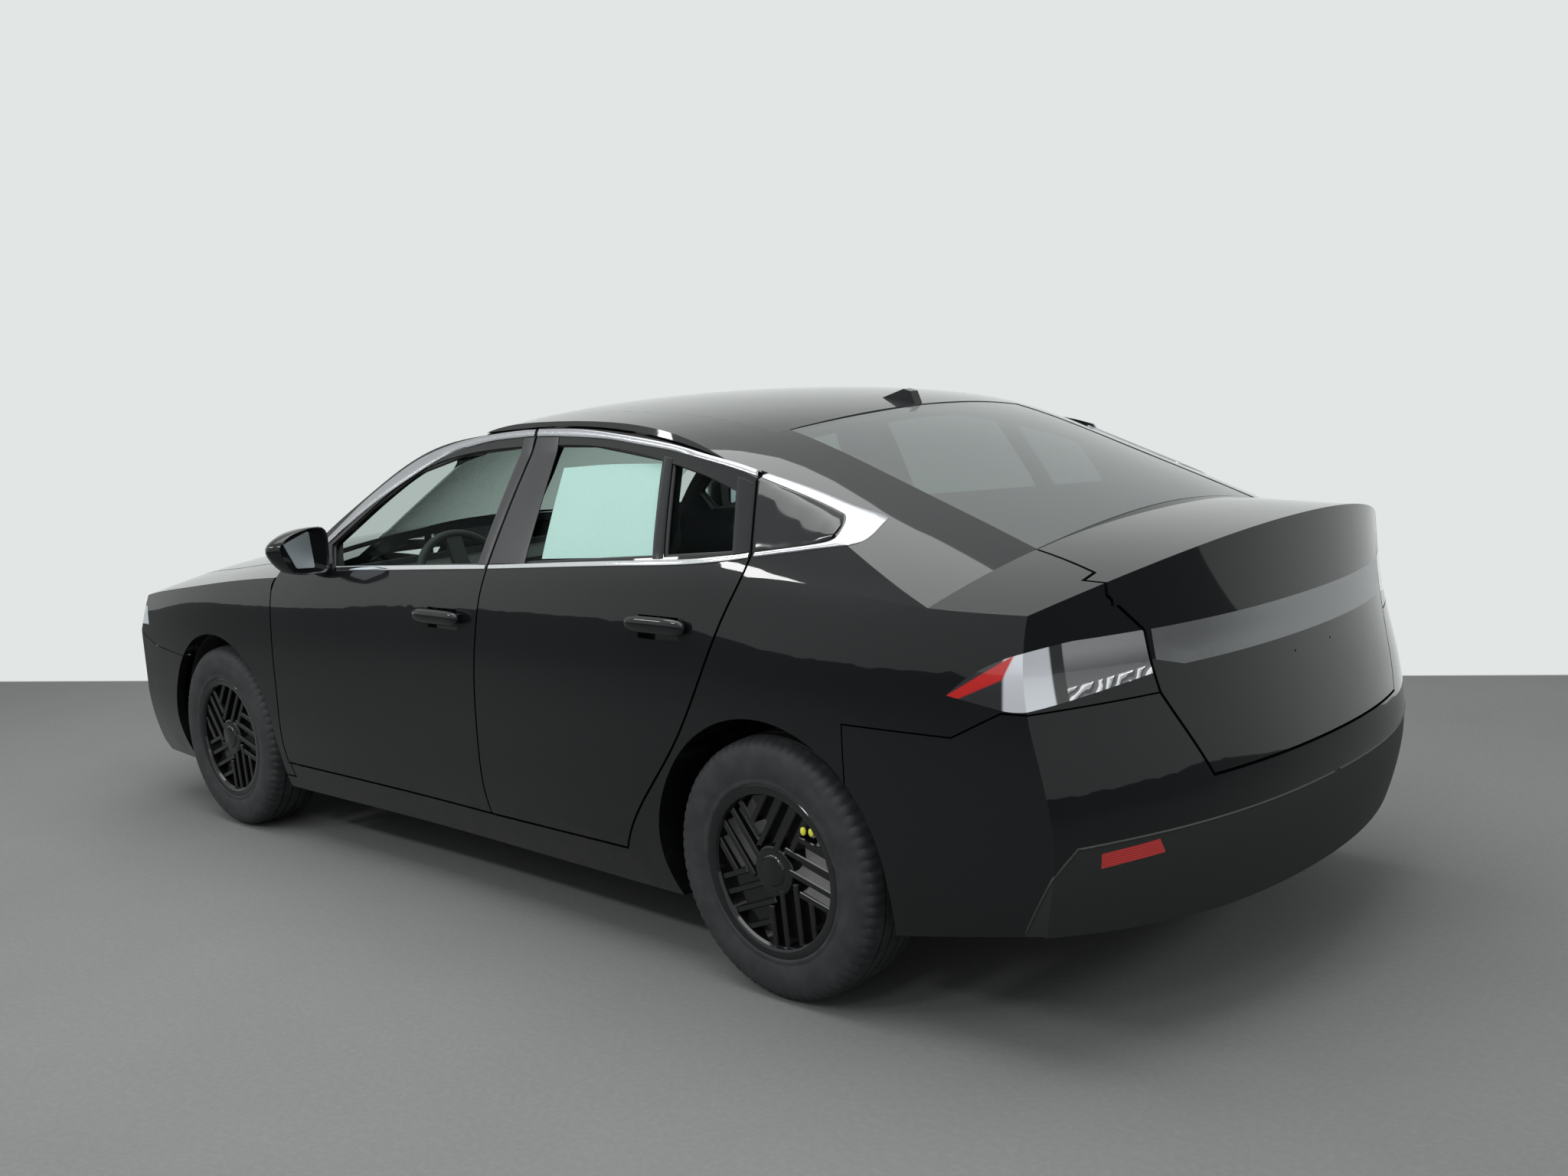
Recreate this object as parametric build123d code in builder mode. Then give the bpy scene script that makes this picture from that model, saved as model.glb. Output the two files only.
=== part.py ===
from build123d import *
from math import cos, exp, log, radians, sin, sqrt, tan
import os

# Driving dimensions, in millimetres: +X forward, +Y left, +Z up, origin on the ground at mid length.
length = 4656
width = 1826
height = 1448
wheelbase = 2713
front_overhang = 940
track = 1590
tyre_radius = 326
tyre_width = 205
rim_radius = 207
arch_radius = 378

# Panel thicknesses and gaps.
gap = 7
skin = 8
door_depth = 105
frame_depth = 40
seal_gap = 8
seat = 0.3
pillar_depth_low = 50
pillar_depth_high = 28
hem = 20
panel = 10

front_axle_x = length / 2 - front_overhang
rear_axle_x = front_axle_x - wheelbase
hub_z = tyre_radius
half = width / 2


def blend(t):
    """Smooth step from 0 to 1."""
    t = min(max(t, 0), 1)
    return t * t * (3 - 2 * t)


def ramp(t, soft):
    """A ramp that starts at 0, rounded over the length soft."""
    return soft * log(1 + exp(t / soft)) if t < 30 * soft else t


def spread(low, high, count):
    """Evenly spaced values from low to high."""
    return [low + (high - low) * i / (count - 1) for i in range(count)]


def belt(x):
    """Height of the waistline, which rises to the rear."""
    return 1000 - 0.068 * (x + 212)


def side_y(x, z):
    """Half width of the car's outer surface at a place along it and a height."""
    y = half
    y -= 78 * (max(x - 1250, 0) / 1078) ** 2.2
    y -= 92 * (max(-1350 - x, 0) / 978) ** 2.2
    y -= 20 * exp(-(((x - 150) / 780) ** 2))
    y -= 62 * (max(430 - z, 0) / 260) ** 2
    y -= 40 * (min(max(z - 620, 0), 700) / 350) ** 2 * 0.55
    y -= 0.315 * ramp(z - belt(x) + 30, 26)
    y -= blend((-1000 - x) / 800) * 0.34 * ramp(z - belt(x) + 130, 45)
    return y


def skin_face(points):
    """A smooth surface through a grid of points."""
    return Face.make_surface_from_array_of_points(points, tol=0.5)


def side_block(low=0, high=None):
    """All that lies inboard of the left outer surface, set in by a depth that changes at the waist."""
    top = low if high is None else high
    rows = [
        [
            (x, side_y(x, z) - low - (top - low) * blend((z - belt(x) + 150) / 210), z)
            for z in spread(60, 1540, 29)
        ]
        for x in spread(-2480, 2480, 37)
    ]
    with BuildPart() as block:
        extrude(skin_face(rows), amount=2600, dir=(0, -1, 0))
    return block.part


# The centre line of the windscreen, roof and rear window.
with BuildLine(Plane.XZ) as roof_line:
    Spline(
        (1480, 800),
        (1020, 1010),
        (640, 1210),
        (250, 1375),
        (-350, height),
        (-850, 1430),
        (-1240, 1365),
        (-1560, 1255),
        (-1900, 1128),
        (-2350, 940),
    )
screen_sweep = 235
rear_sweep = 140
roof_crown = 40
crown_half = 650


def roof_block(depth=0):
    """All that lies below the windscreen, roof and rear window surface, lowered by depth."""
    rows = []
    for t in spread(0, 1, 41):
        p = roof_line.line @ t
        sweep = screen_sweep * blend((p.X + 300) / 900) - rear_sweep * blend((-500 - p.X) / 900)
        rows.append(
            [
                (p.X - sweep * (y / crown_half) ** 2, y, p.Z - depth - roof_crown * (y / crown_half) ** 2)
                for y in spread(-1000, 1000, 17)
            ]
        )
    with BuildPart() as block:
        extrude(skin_face(rows), amount=2000, dir=(0, 0, -1))
    return block.part


# The centre line of the bonnet, and of the boot lid's deck.
with BuildLine(Plane.XZ) as low_line:
    Spline(
        (2480, 640),
        (2290, 770),
        (2060, 872),
        (1650, 950),
        (1150, 1006),
        (500, 1045),
        (-800, 1120),
        (-1600, 1128),
        (-1950, 1118),
        (-2180, 1108),
        (-2480, 1110),
    )


def low_block(depth=0):
    """All that lies below the bonnet and deck surface."""
    rows = []
    for t in spread(0, 1, 31):
        p = low_line.line @ t
        crown = 50 + 22 * blend((-1300 - p.X) / 600)
        rows.append(
            [
                (p.X, y, p.Z - depth - crown * (abs(y) / crown_half) ** 2.2)
                for y in spread(-1000, 1000, 17)
            ]
        )
    with BuildPart() as block:
        extrude(skin_face(rows), amount=2000, dir=(0, 0, -1))
    return block.part


# The centre lines of the nose and of the tail, from below upwards.
with BuildLine(Plane.XZ) as nose_line:
    Spline((2170, 60), (2262, 190), (2310, 320), (2327.4, 480), (2320, 620), (2292, 720), (2236, 800), (2150, 930), (2040, 1200), (2000, 1600))
with BuildLine(Plane.XZ) as tail_line:
    Spline((-2150, 60), (-2235, 190), (-2300, 340), (-2326, 500), (-2312, 640), (-2282, 760), (-2262, 900), (-2246, 1120), (-2240, 1600))


def end_block(line, sweep, direction, depth=0):
    """All that lies behind the nose surface, or ahead of the tail surface."""
    rows = []
    for t in spread(0, 1, 13):
        p = line @ t
        rows.append(
            [
                (p.X - direction * (depth + sweep * (abs(y) / 800) ** 2.3), y, p.Z)
                for y in spread(-1000, 1000, 21)
            ]
        )
    with BuildPart() as block:
        extrude(skin_face(rows), amount=5200, dir=(-direction, 0, 0))
    return block.part


nose_sweep = 235
tail_sweep = 175


def brick(x0, x1, y0, y1, z0, z1):
    """A plain block between two corners."""
    with BuildPart() as block:
        with Locations(((x0 + x1) / 2, (y0 + y1) / 2, (z0 + z1) / 2)):
            Box(x1 - x0, y1 - y0, z1 - z0)
    return block.part


def car_volume(low=0, high=None, top=0, nose=0, tail=0, floor=190):
    """The car's outer volume, with each of its surfaces set in by its own depth."""
    with BuildPart() as sides:
        add(brick(-2400, 2400, -960, 960, floor, 1500))
        add(side_block(low, high), mode=Mode.INTERSECT)
        mirror(about=Plane.XZ, mode=Mode.INTERSECT)
        add(end_block(nose_line.line, nose_sweep, 1, nose), mode=Mode.INTERSECT)
        add(end_block(tail_line.line, tail_sweep, -1, tail), mode=Mode.INTERSECT)
    with BuildPart() as upper:
        add(sides.part)
        add(roof_block(top), mode=Mode.INTERSECT)
    with BuildPart() as lower:
        add(sides.part)
        add(low_block(top), mode=Mode.INTERSECT)
    with BuildPart() as volume:
        add(lower.part)
        add(upper.part)
    return volume.part


def moved(points, amount):
    """The corners of a closed outline, moved so that each of its sides shifts outwards by an amount."""
    before = points[-1:] + points[:-1]
    after = points[1:] + points[:1]
    area = sum(a[0] * b[1] - b[0] * a[1] for a, b in zip(points, after))
    turn = amount if area > 0 else -amount
    result = []
    for a, b, c in zip(before, points, after):
        u = Vector(b[0] - a[0], b[1] - a[1]).normalized()
        v = Vector(c[0] - b[0], c[1] - b[1]).normalized()
        share = turn / (1 + u.dot(v))
        result.append((b[0] + (u.Y + v.Y) * share, b[1] - (u.X + v.X) * share))
    return result


def outline(*edges, grow=0):
    """A flat face bounded by lines and splines, grown or shrunk by an amount."""
    ring = [point for points in edges for point in points[:-1]]
    ring = moved(ring, grow) if grow else ring
    ring.append(ring[0])
    with BuildSketch() as flat:
        with BuildLine():
            start = 0
            for points in edges:
                end = start + len(points)
                if len(points) == 2:
                    Line(*ring[start:end])
                else:
                    Spline(*ring[start:end])
                start = end - 1
        make_face()
    return flat.sketch


def across(flat, inner, outer):
    """A side-view outline carried across the car from one distance to another."""
    with BuildPart() as prism:
        with BuildSketch(Plane.XZ.offset(-outer)):
            add(flat)
        extrude(amount=outer - inner)
    return prism.part


def upright(flat, low, high):
    """A plan outline carried upwards."""
    with BuildPart() as prism:
        with BuildSketch(Plane.XY.offset(low)):
            add(flat)
        extrude(amount=high - low)
    return prism.part


def lengthwise(flat, rear, front):
    """A rear-view outline carried forwards."""
    with BuildPart() as prism:
        with BuildSketch(Plane.YZ.offset(rear)):
            add(flat)
        extrude(amount=front - rear)
    return prism.part


def both(points):
    """The points of one half and, in reverse, of its mirror half."""
    return points + [(x, -y) for x, y in reversed(points)]


def polygon(points, grow=0):
    """A flat face with straight sides."""
    with BuildSketch() as flat:
        with BuildLine():
            Polyline(moved(points, grow) if grow else points, close=True)
        make_face()
    return flat.sketch


# Side-view outlines of the doors, as seen from the left.
front_low = (968, 292)
front_waist = (956, 880)
front_corner = (800, 990)
front_top = (-296, 1383)
pillar_waist = (-234, 1005)
pillar_foot = (-176, 291)
front_door_outline = [
    [front_low, (963, 638), front_waist],
    [front_waist, (920, 945), front_corner],
    [front_corner, (735, 1045), (520, 1190), (310, 1305), (50, 1362), front_top],
    [front_top, pillar_waist],
    [pillar_waist, (-215, 930), pillar_foot],
    [pillar_foot, front_low],
]
rear_front_top = (-303, 1383)
rear_front_waist = (-241, 1005)
rear_front_foot = (-183, 291)
rear_top = (-1226, 1258)
rear_waist = (-1284, 1085)
rear_foot = (-800, 300)
rear_door_outline = [
    [rear_front_foot, (-222, 930), rear_front_waist],
    [rear_front_waist, rear_front_top],
    [rear_front_top, (-573, 1380), (-907, 1341), rear_top],
    [rear_top, rear_waist],
    [rear_waist, (-1268, 1030), (-1223, 945), (-1044, 626), (-870, 410), rear_foot],
    [rear_foot, rear_front_foot],
]

# Side-view outlines of the openings for the glass.
front_glass_outline = [
    [(600, 968), (640, 1040)],
    [(640, 1040), (480, 1150), (290, 1258), (50, 1316), (-262, 1338)],
    [(-262, 1338), (-192, 1012)],
    [(-192, 1012), (600, 968)],
]
rear_glass_outline = [
    [(-347, 1338), (-573, 1337), (-880, 1300)],
    [(-880, 1300), (-950, 1066)],
    [(-950, 1066), (-290, 1019)],
    [(-290, 1019), (-347, 1338)],
]
quarter_glass_outline = [
    [(-922, 1292), (-1060, 1264), (-1178, 1228)],
    [(-1178, 1228), (-1228, 1086)],
    [(-1228, 1086), (-992, 1069)],
    [(-992, 1069), (-922, 1292)],
]

# Plan outlines of what covers the car from above.
cowl_x = 1030
hood_plan = both([(cowl_x, 700), (1500, 705), (1900, 660), (2120, 560), (2400, 470)])
roof_edge = 545
screen_plan = (
    [(985, 0), (960, 200), (895, 400), (800, 560), (740, 640)],
    [(740, 640), (127, roof_edge)],
    [(127, roof_edge), (205, 300), (240, 0), (205, -300), (127, -roof_edge)],
    [(127, -roof_edge), (740, -640)],
    [(740, -640), (800, -560), (895, -400), (960, -200), (985, 0)],
)
rear_plan = (
    [(-1150, 0), (-1140, 300), (-1110, 500)],
    [(-1110, 500), (-1870, 520)],
    [(-1870, 520), (-1890, 300), (-1897, 0), (-1890, -300), (-1870, -520)],
    [(-1870, -520), (-1110, -500)],
    [(-1110, -500), (-1140, -300), (-1150, 0)],
)
deck_plan = (
    [(-1877, 520), (-1897, 300), (-1904, 0), (-1897, -300), (-1877, -520)],
    [(-1877, -520), (-2060, -600), (-2166, -656)],
    [(-2166, -656), (-2400, -656)],
    [(-2400, -656), (-2400, 656)],
    [(-2400, 656), (-2166, 656)],
    [(-2166, 656), (-2060, 600), (-1877, 520)],
)
roof_plan = (
    [(120, roof_edge), (198, 300), (233, 0), (198, -300), (120, -roof_edge)],
    [(120, -roof_edge), (-1103, -roof_edge)],
    [(-1103, -roof_edge), (-1132, -300), (-1143, 0), (-1132, 300), (-1103, roof_edge)],
    [(-1103, roof_edge), (120, roof_edge)],
)

# Rear-view outline of the lid, below the lip.
lid_low = 600
plate_screw_spacing = 178
plate_screw_radius = 3
plate_screw_z = 800
lid_rear = [(-660, 1200), (-656, 1010), (-574, 925), (-566, 855), (-556, 790), (-462, lid_low)]
lid_rear += [(-y, z) for y, z in reversed(lid_rear)]
# Side-view outlines of the lamps and bumpers.
lamp_side = [
    [(-1880, 814), (-1941, 862), (-2033, 905), (-2110, 925)],
    [(-2110, 925), (-2400, 925)],
    [(-2400, 925), (-2400, 835)],
    [(-2400, 835), (-2194, 833), (-2100, 800), (-2007, 793)],
    [(-2007, 793), (-1880, 814)],
]
rear_bumper_side = [(-1600, 722), (-1890, 722), (-2010, 784), (-2400, 790)]
rear_bumper_side += [(-2400, 240), (-2080, 315), (-1690, 240), (-1600, 190)]
front_bumper_side = [(2400, 796), (2200, 796), (2130, 690), (1900, 620), (1600, 600), (1600, 180), (2400, 180)]
fender_side = [(966, 240), (963, 900), (870, 1040), (1000, 1200), (2400, 1200), (2400, 240)]

outer = car_volume()
inner = car_volume(
    low=door_depth + seal_gap + pillar_depth_low,
    high=frame_depth + seal_gap + pillar_depth_high,
    top=38,
    nose=60,
    tail=50,
    floor=250,
)
thin = car_volume(low=30, top=30, nose=40, tail=40, floor=100)
skin_zero = side_block(0)
skin_hem = side_block(skin)
door_back = side_block(door_depth, frame_depth)
door_room = side_block(door_depth + seal_gap, frame_depth + seal_gap)
glass_face = side_block(14)
glass_back = side_block(19)


def wheel_well(radius, reach_in):
    """The round space about both wheels of the left side."""
    with BuildPart() as well:
        with BuildSketch(Plane.XZ.offset(-1100)):
            for x in (front_axle_x, rear_axle_x):
                with Locations((x, hub_z)):
                    Circle(radius)
        extrude(amount=1100 - reach_in)
    return well.part


well_inner = 508
wells = wheel_well(arch_radius, well_inner)


def flip(piece):
    """The same piece for the other side of the car."""
    return mirror(piece, about=Plane.XZ)


def largest(piece):
    """The largest solid of a piece, without the slivers that cutting left over."""
    return piece.solids().sort_by(SortBy.VOLUME)[-1]


def save(piece, name):
    """Labels a piece and writes it out."""
    piece.label = name
    export_step(piece, "parts/" + name + ".step")


def save_pair(piece, name):
    """Writes a piece of the left side and its mirror image."""
    save(piece, name + "_left")
    save(flip(piece), name + "_right")


os.makedirs("parts", exist_ok=True)

# The body shell, thick where doors and pillars lie, and the thin shell of bumpers, fenders and bonnet.
with BuildPart() as thick_shell:
    add(outer)
    add(inner, mode=Mode.SUBTRACT)
with BuildPart() as thin_shell:
    add(outer)
    add(thin, mode=Mode.SUBTRACT)

# The doors. The outer sheet reaches the shut line; the box behind it stands back from it.
left_doors = (
    ("front", front_door_outline, [front_glass_outline], 920),
    ("rear", rear_door_outline, [rear_glass_outline, quarter_glass_outline], -262),
)
handle_x = {"front": (-130, 70), "rear": (-1090, -895)}
handle_z = {"front": 862, "rear": 905}
for place, shape, panes, hinge_x in left_doors:
    with BuildPart() as ring:
        add(across(outline(*shape, grow=40), 0, 1000))
        add(across(outline(*shape, grow=-hem), 0, 1000), mode=Mode.SUBTRACT)
        add(brick(hinge_x + 20, hinge_x + 120, 0, 1000, 250, 1020))
        add(skin_hem, mode=Mode.INTERSECT)
    x0, x1 = handle_x[place]
    z = handle_z[place]
    with BuildPart() as door:
        add(across(outline(*shape), 0, 1000))
        add(skin_zero, mode=Mode.INTERSECT)
        add(door_back, mode=Mode.SUBTRACT)
        add(ring.part, mode=Mode.SUBTRACT)
        for pane in panes:
            add(across(outline(*pane), 0, 1000), mode=Mode.SUBTRACT)
        # The hollow behind the grip, then the grip on its two feet.
        with Locations(((x0 + x1) / 2, 905, z - 8)):
            Box(150, 70, 60, mode=Mode.SUBTRACT)
        with Locations(((x0 + x1) / 2, 908, z)):
            Box(x1 - x0, 16, 24)
        for foot in (x0 + 12, x1 - 12):
            with Locations((foot, 890, z)):
                Box(22, 40, 22)
    with BuildPart() as glass:
        for pane in panes:
            add(across(outline(*pane), 0, 1000))
        add(glass_face, mode=Mode.INTERSECT)
        add(glass_back, mode=Mode.SUBTRACT)
    save_pair(door.part, place + "_door")
    save_pair(glass.part, place + "_door_glass")

# Outlines seen from the front and rear.
headlamp_front = [(480, 662), (520, 742), (800, 772), (900, 765), (900, 700), (700, 655)]
grille_front = [(-430, 700), (430, 700), (300, 470), (-300, 470)]
bar_rear = [(-560, 924), (560, 924), (556, 858), (482, 838), (-482, 838), (-556, 858)]
reflector_rear = [(610, 458), (760, 452), (760, 484), (625, 490)]


def pair_of(points):
    """A rear-view outline and its mirror image."""
    return [points, [(-y, z) for y, z in reversed(points)]]



# What the openings in the top and the rear of the body leave free.
with BuildPart() as top_room:
    for shape in (screen_plan, roof_plan, rear_plan):
        add(upright(outline(*shape, grow=seat), 900, 1600))
    add(upright(outline(*deck_plan, grow=gap), 985, 1600))
    add(lengthwise(polygon(lid_rear, grow=gap), -2400, -2080))
with BuildPart() as lamp_room:
    add(across(outline(*lamp_side, grow=seat), -1000, 1000))
with BuildPart() as bumper_room:
    add(across(polygon(rear_bumper_side, grow=4), -1000, 1000))
    add(brick(-2400, -1600, -1000, 1000, 100, 300))
with BuildPart() as fender_core:
    add(brick(800, 2400, 0, 1000, 100, 1400))
    add(side_block(45), mode=Mode.INTERSECT)
    add(low_block(45), mode=Mode.INTERSECT)
with BuildPart() as fender_room:
    add(across(polygon(fender_side, grow=gap), 0, 1000))
    add(fender_core.part, mode=Mode.SUBTRACT)
    add(low_block(0), mode=Mode.INTERSECT)

door_rooms = []
for place, shape, panes, hinge_x in left_doors:
    with BuildPart() as room:
        add(across(outline(*shape, grow=gap), 0, 1000))
        add(door_room, mode=Mode.SUBTRACT)
    with BuildPart() as doorway:
        add(across(outline(*shape, grow=-45), 0, 1000))
        add(brick(hinge_x - 85, hinge_x + 200, 0, 1000, 200, 960), mode=Mode.SUBTRACT)
    door_rooms += [room.part, doorway.part]

hinge_pads = []
pad_face = side_block(door_depth + seat, frame_depth + seat)
for place, shape, panes, hinge_x in left_doors:
    for z in (400, 740):
        with BuildPart() as pad:
            add(brick(hinge_x - 80, hinge_x - 28, 400, 1000, z, z + 90))
            add(pad_face, mode=Mode.INTERSECT)
            add(side_block(door_depth + seal_gap + 6, frame_depth + seal_gap + 6), mode=Mode.SUBTRACT)
        hinge_pads.append(pad.part)

# The inner housing of the rear wheel.
with BuildPart() as wheel_housing:
    with Locations((rear_axle_x, 670, hub_z)):
        Cylinder(arch_radius + 14, 348, rotation=(90, 0, 0))
    add(brick(-1800, -900, 496, 844, 252, 800), mode=Mode.INTERSECT)
    add(outer, mode=Mode.INTERSECT)
    add(wells, mode=Mode.SUBTRACT)
    add(across(outline(*rear_door_outline, grow=gap), 600, 1000), mode=Mode.SUBTRACT)
    add(brick(-1701, -949, 490, 512, 200, 372), mode=Mode.SUBTRACT)

with BuildPart() as side_frame:
    add(thick_shell.part)
    add(brick(-2400, 1075, 0, 1000, 100, 1600), mode=Mode.INTERSECT)
    add(brick(-2500, 1100, -10, 700, 100, 262), mode=Mode.SUBTRACT)
    add(top_room.part, mode=Mode.SUBTRACT)
    add(lamp_room.part, mode=Mode.SUBTRACT)
    add(bumper_room.part, mode=Mode.SUBTRACT)
    add(fender_room.part, mode=Mode.SUBTRACT)
    add(upright(polygon(hood_plan, grow=gap), 700, 1600), mode=Mode.SUBTRACT)
    for room in door_rooms:
        add(room, mode=Mode.SUBTRACT)
    # The hinge straps, which reach the inner face of each door behind its hinge line.
    for pad in hinge_pads:
        add(pad)
    add(wells, mode=Mode.SUBTRACT)
    add(wheel_housing.part)
save_pair(largest(side_frame.part), "side_frame")

with BuildPart() as roof_panel:
    add(thick_shell.part)
    add(upright(outline(*roof_plan), 1150, 1600), mode=Mode.INTERSECT)
    with BuildSketch(Plane.XZ) as fin:
        with BuildLine():
            Polyline((-1140, 1375), (-1120, 1425), (-1095, 1432), (-1000, 1405), (-985, 1385), close=True)
        make_face()
    extrude(amount=16, both=True)
save(largest(roof_panel.part), "roof_panel")


def pane(shape, low, depth, thickness=6):
    """Glass that follows the roof line."""
    with BuildPart() as glass:
        add(upright(outline(*shape), low, 1550))
        add(roof_block(depth), mode=Mode.INTERSECT)
        add(roof_block(depth + thickness), mode=Mode.SUBTRACT)
    return glass.part


save(pane(screen_plan, 900, 2), "windscreen")
save(pane(rear_plan, 1000, 2), "rear_window")

# The bonnet.
with BuildPart() as hood:
    add(thin_shell.part)
    add(upright(polygon(hood_plan), 803, 1500), mode=Mode.INTERSECT)
save(largest(hood.part), "hood")

# The lid, with the light bar across it.
with BuildPart() as bar_room:
    add(lengthwise(polygon(bar_rear), -2400, -2080))
    add(end_block(tail_line.line, tail_sweep, -1, 22), mode=Mode.SUBTRACT)
with BuildPart() as boot_lid:
    add(upright(outline(*deck_plan), 985, 1600))
    add(lengthwise(polygon(lid_rear), -2400, -2090))
    add(thick_shell.part, mode=Mode.INTERSECT)
    add(bar_room.part, mode=Mode.SUBTRACT)
    # The two screw holes of the number plate.
    for y in (-plate_screw_spacing / 2, plate_screw_spacing / 2):
        with Locations((-2270, y, plate_screw_z)):
            Cylinder(plate_screw_radius, 70, rotation=(0, 90, 0), mode=Mode.SUBTRACT)
save(largest(boot_lid.part), "boot_lid")
with BuildPart() as boot_lamps:
    add(outer)
    add(bar_room.part, mode=Mode.INTERSECT)
save(largest(boot_lamps.part), "boot_lamps")

# The lamps of the rear corners.
with BuildPart() as tail_lamps:
    add(thin_shell.part)
    add(across(outline(*lamp_side), -1000, 1000), mode=Mode.INTERSECT)
    add(lengthwise(polygon(lid_rear, grow=gap), -2400, -2080), mode=Mode.SUBTRACT)
tail_lamp = tail_lamps.part.solids().filter_by(lambda piece: piece.center().Y > 0).sort_by(SortBy.VOLUME)[-1]
save_pair(tail_lamp, "tail_lamp")

# The bumpers.
with BuildPart() as lens_room:
    for points in pair_of(reflector_rear):
        add(lengthwise(polygon(points), -2400, -2050))
    add(end_block(tail_line.line, tail_sweep, -1, 12), mode=Mode.SUBTRACT)
both_wells = [wells, flip(wells)]
with BuildPart() as rear_bumper:
    add(thin_shell.part)
    add(across(polygon(rear_bumper_side), -1000, 1000), mode=Mode.INTERSECT)
    add(lengthwise(polygon(lid_rear, grow=gap), -2400, -2080), mode=Mode.SUBTRACT)
    add(both_wells[0], mode=Mode.SUBTRACT)
    add(both_wells[1], mode=Mode.SUBTRACT)
    add(lens_room.part, mode=Mode.SUBTRACT)
save(largest(rear_bumper.part), "rear_bumper")
with BuildPart() as rear_reflectors:
    add(outer)
    add(lens_room.part, mode=Mode.INTERSECT)
save(rear_reflectors.part, "rear_reflectors")

with BuildPart() as headlamp_room:
    add(lengthwise(polygon(headlamp_front), 1950, 2400))
with BuildPart() as front_bumper:
    add(thin_shell.part)
    add(across(polygon(front_bumper_side), -1000, 1000), mode=Mode.INTERSECT)
    add(headlamp_room.part, mode=Mode.SUBTRACT)
    add(flip(headlamp_room.part), mode=Mode.SUBTRACT)
    add(lengthwise(polygon(grille_front), 2000, 2400), mode=Mode.SUBTRACT)
    add(upright(polygon(hood_plan, grow=gap), 797, 1500), mode=Mode.SUBTRACT)
    add(both_wells[0], mode=Mode.SUBTRACT)
    add(both_wells[1], mode=Mode.SUBTRACT)
save(largest(front_bumper.part), "front_bumper")
with BuildPart() as headlamps:
    add(thin_shell.part)
    add(headlamp_room.part, mode=Mode.INTERSECT)
    add(upright(polygon(hood_plan, grow=gap), 797, 1500), mode=Mode.SUBTRACT)
save_pair(largest(headlamps.part), "headlamp")
with BuildPart() as grille:
    add(thin_shell.part)
    add(lengthwise(polygon(grille_front, grow=-seat), 2000, 2400), mode=Mode.INTERSECT)
    add(end_block(nose_line.line, nose_sweep, 1, 14), mode=Mode.INTERSECT)
    for z in (500, 540, 580, 620, 660):
        with Locations((2300, 0, z)):
            Box(400, 2 * (286 + (z - 470) * 0.565) - 30, 26, mode=Mode.SUBTRACT)
save(largest(grille.part), "grille")

# The front fenders.
with BuildPart() as fender:
    add(thin_shell.part)
    add(low_block(0), mode=Mode.INTERSECT)
    add(across(polygon(fender_side), 0, 1000), mode=Mode.INTERSECT)
    add(across(polygon(front_bumper_side, grow=3), 0, 1000), mode=Mode.SUBTRACT)
    add(across(outline(*front_door_outline, grow=gap), 0, 1000), mode=Mode.SUBTRACT)
    add(upright(polygon(hood_plan, grow=gap), 700, 1500), mode=Mode.SUBTRACT)
    add(headlamp_room.part, mode=Mode.SUBTRACT)
    add(wells, mode=Mode.SUBTRACT)
    add(brick(700, 1023, 0, 720, 700, 1600), mode=Mode.SUBTRACT)
save_pair(largest(fender.part), "front_fender")

# The floor, with its tunnel, the firewall, the wall behind the rear seat and the boot floor.
with BuildPart() as rear_beam:
    add(brick(-2330, -2200, -420, 420, 440, 500))
    add(end_block(tail_line.line, tail_sweep, -1, 40 + seat), mode=Mode.INTERSECT)
with BuildPart() as floor_pan:
    add(brick(-880, 1050, -697, 697, 200, 245))
    add(brick(-880, 1050, -110, 110, 245, 330))
    add(brick(1050, 1070, -697, 697, 200, 895))
    add(brick(-900, -880, -490, 490, 200, 400))
    add(brick(-2190, -880, -490, 490, 370, 400))
    add(brick(-2120, -1725, -600, 600, 370, 400))
    add(brick(-2210, -2190, -460, 460, 350, 585))
    add(brick(-1275, -1255, -490, 490, 400, 1000))
    add(brick(-1275, -1255, -640, 640, 730, 1000))
    add(brick(-1840, -1255, -600, 600, 1000, 1016))
    add(rear_beam.part)
    # The striker of the boot lid's lock.
    add(brick(-2245, -2205, -40, 40, 540, lid_low - seat))
    add(both_wells[0], mode=Mode.SUBTRACT)
    add(both_wells[1], mode=Mode.SUBTRACT)
save(floor_pan.part, "floor_pan")

with BuildPart() as cowl:
    add(brick(905, 1050, -640, 640, 875, 893))
    add(brick(1000, 1020, -640, 640, 893, 915))
save(cowl.part, "cowl")

# The front frame: rails, towers, the radiator's frame and the liners of the front wheels.
with BuildPart() as liner:
    with Locations((front_axle_x, 670, hub_z)):
        Cylinder(arch_radius + 10, 348, rotation=(90, 0, 0))
    add(brick(900, 1800, 496, 844, 252, 800), mode=Mode.INTERSECT)
    add(thin, mode=Mode.INTERSECT)
    add(wells, mode=Mode.SUBTRACT)
    add(brick(1076, 1764, 496, 1000, 252, 800), mode=Mode.INTERSECT)
with BuildPart() as front_beam:
    add(brick(2090, 2330, -480, 480, 430, 500))
    add(end_block(nose_line.line, nose_sweep, 1, 40 + seat), mode=Mode.INTERSECT)
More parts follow.
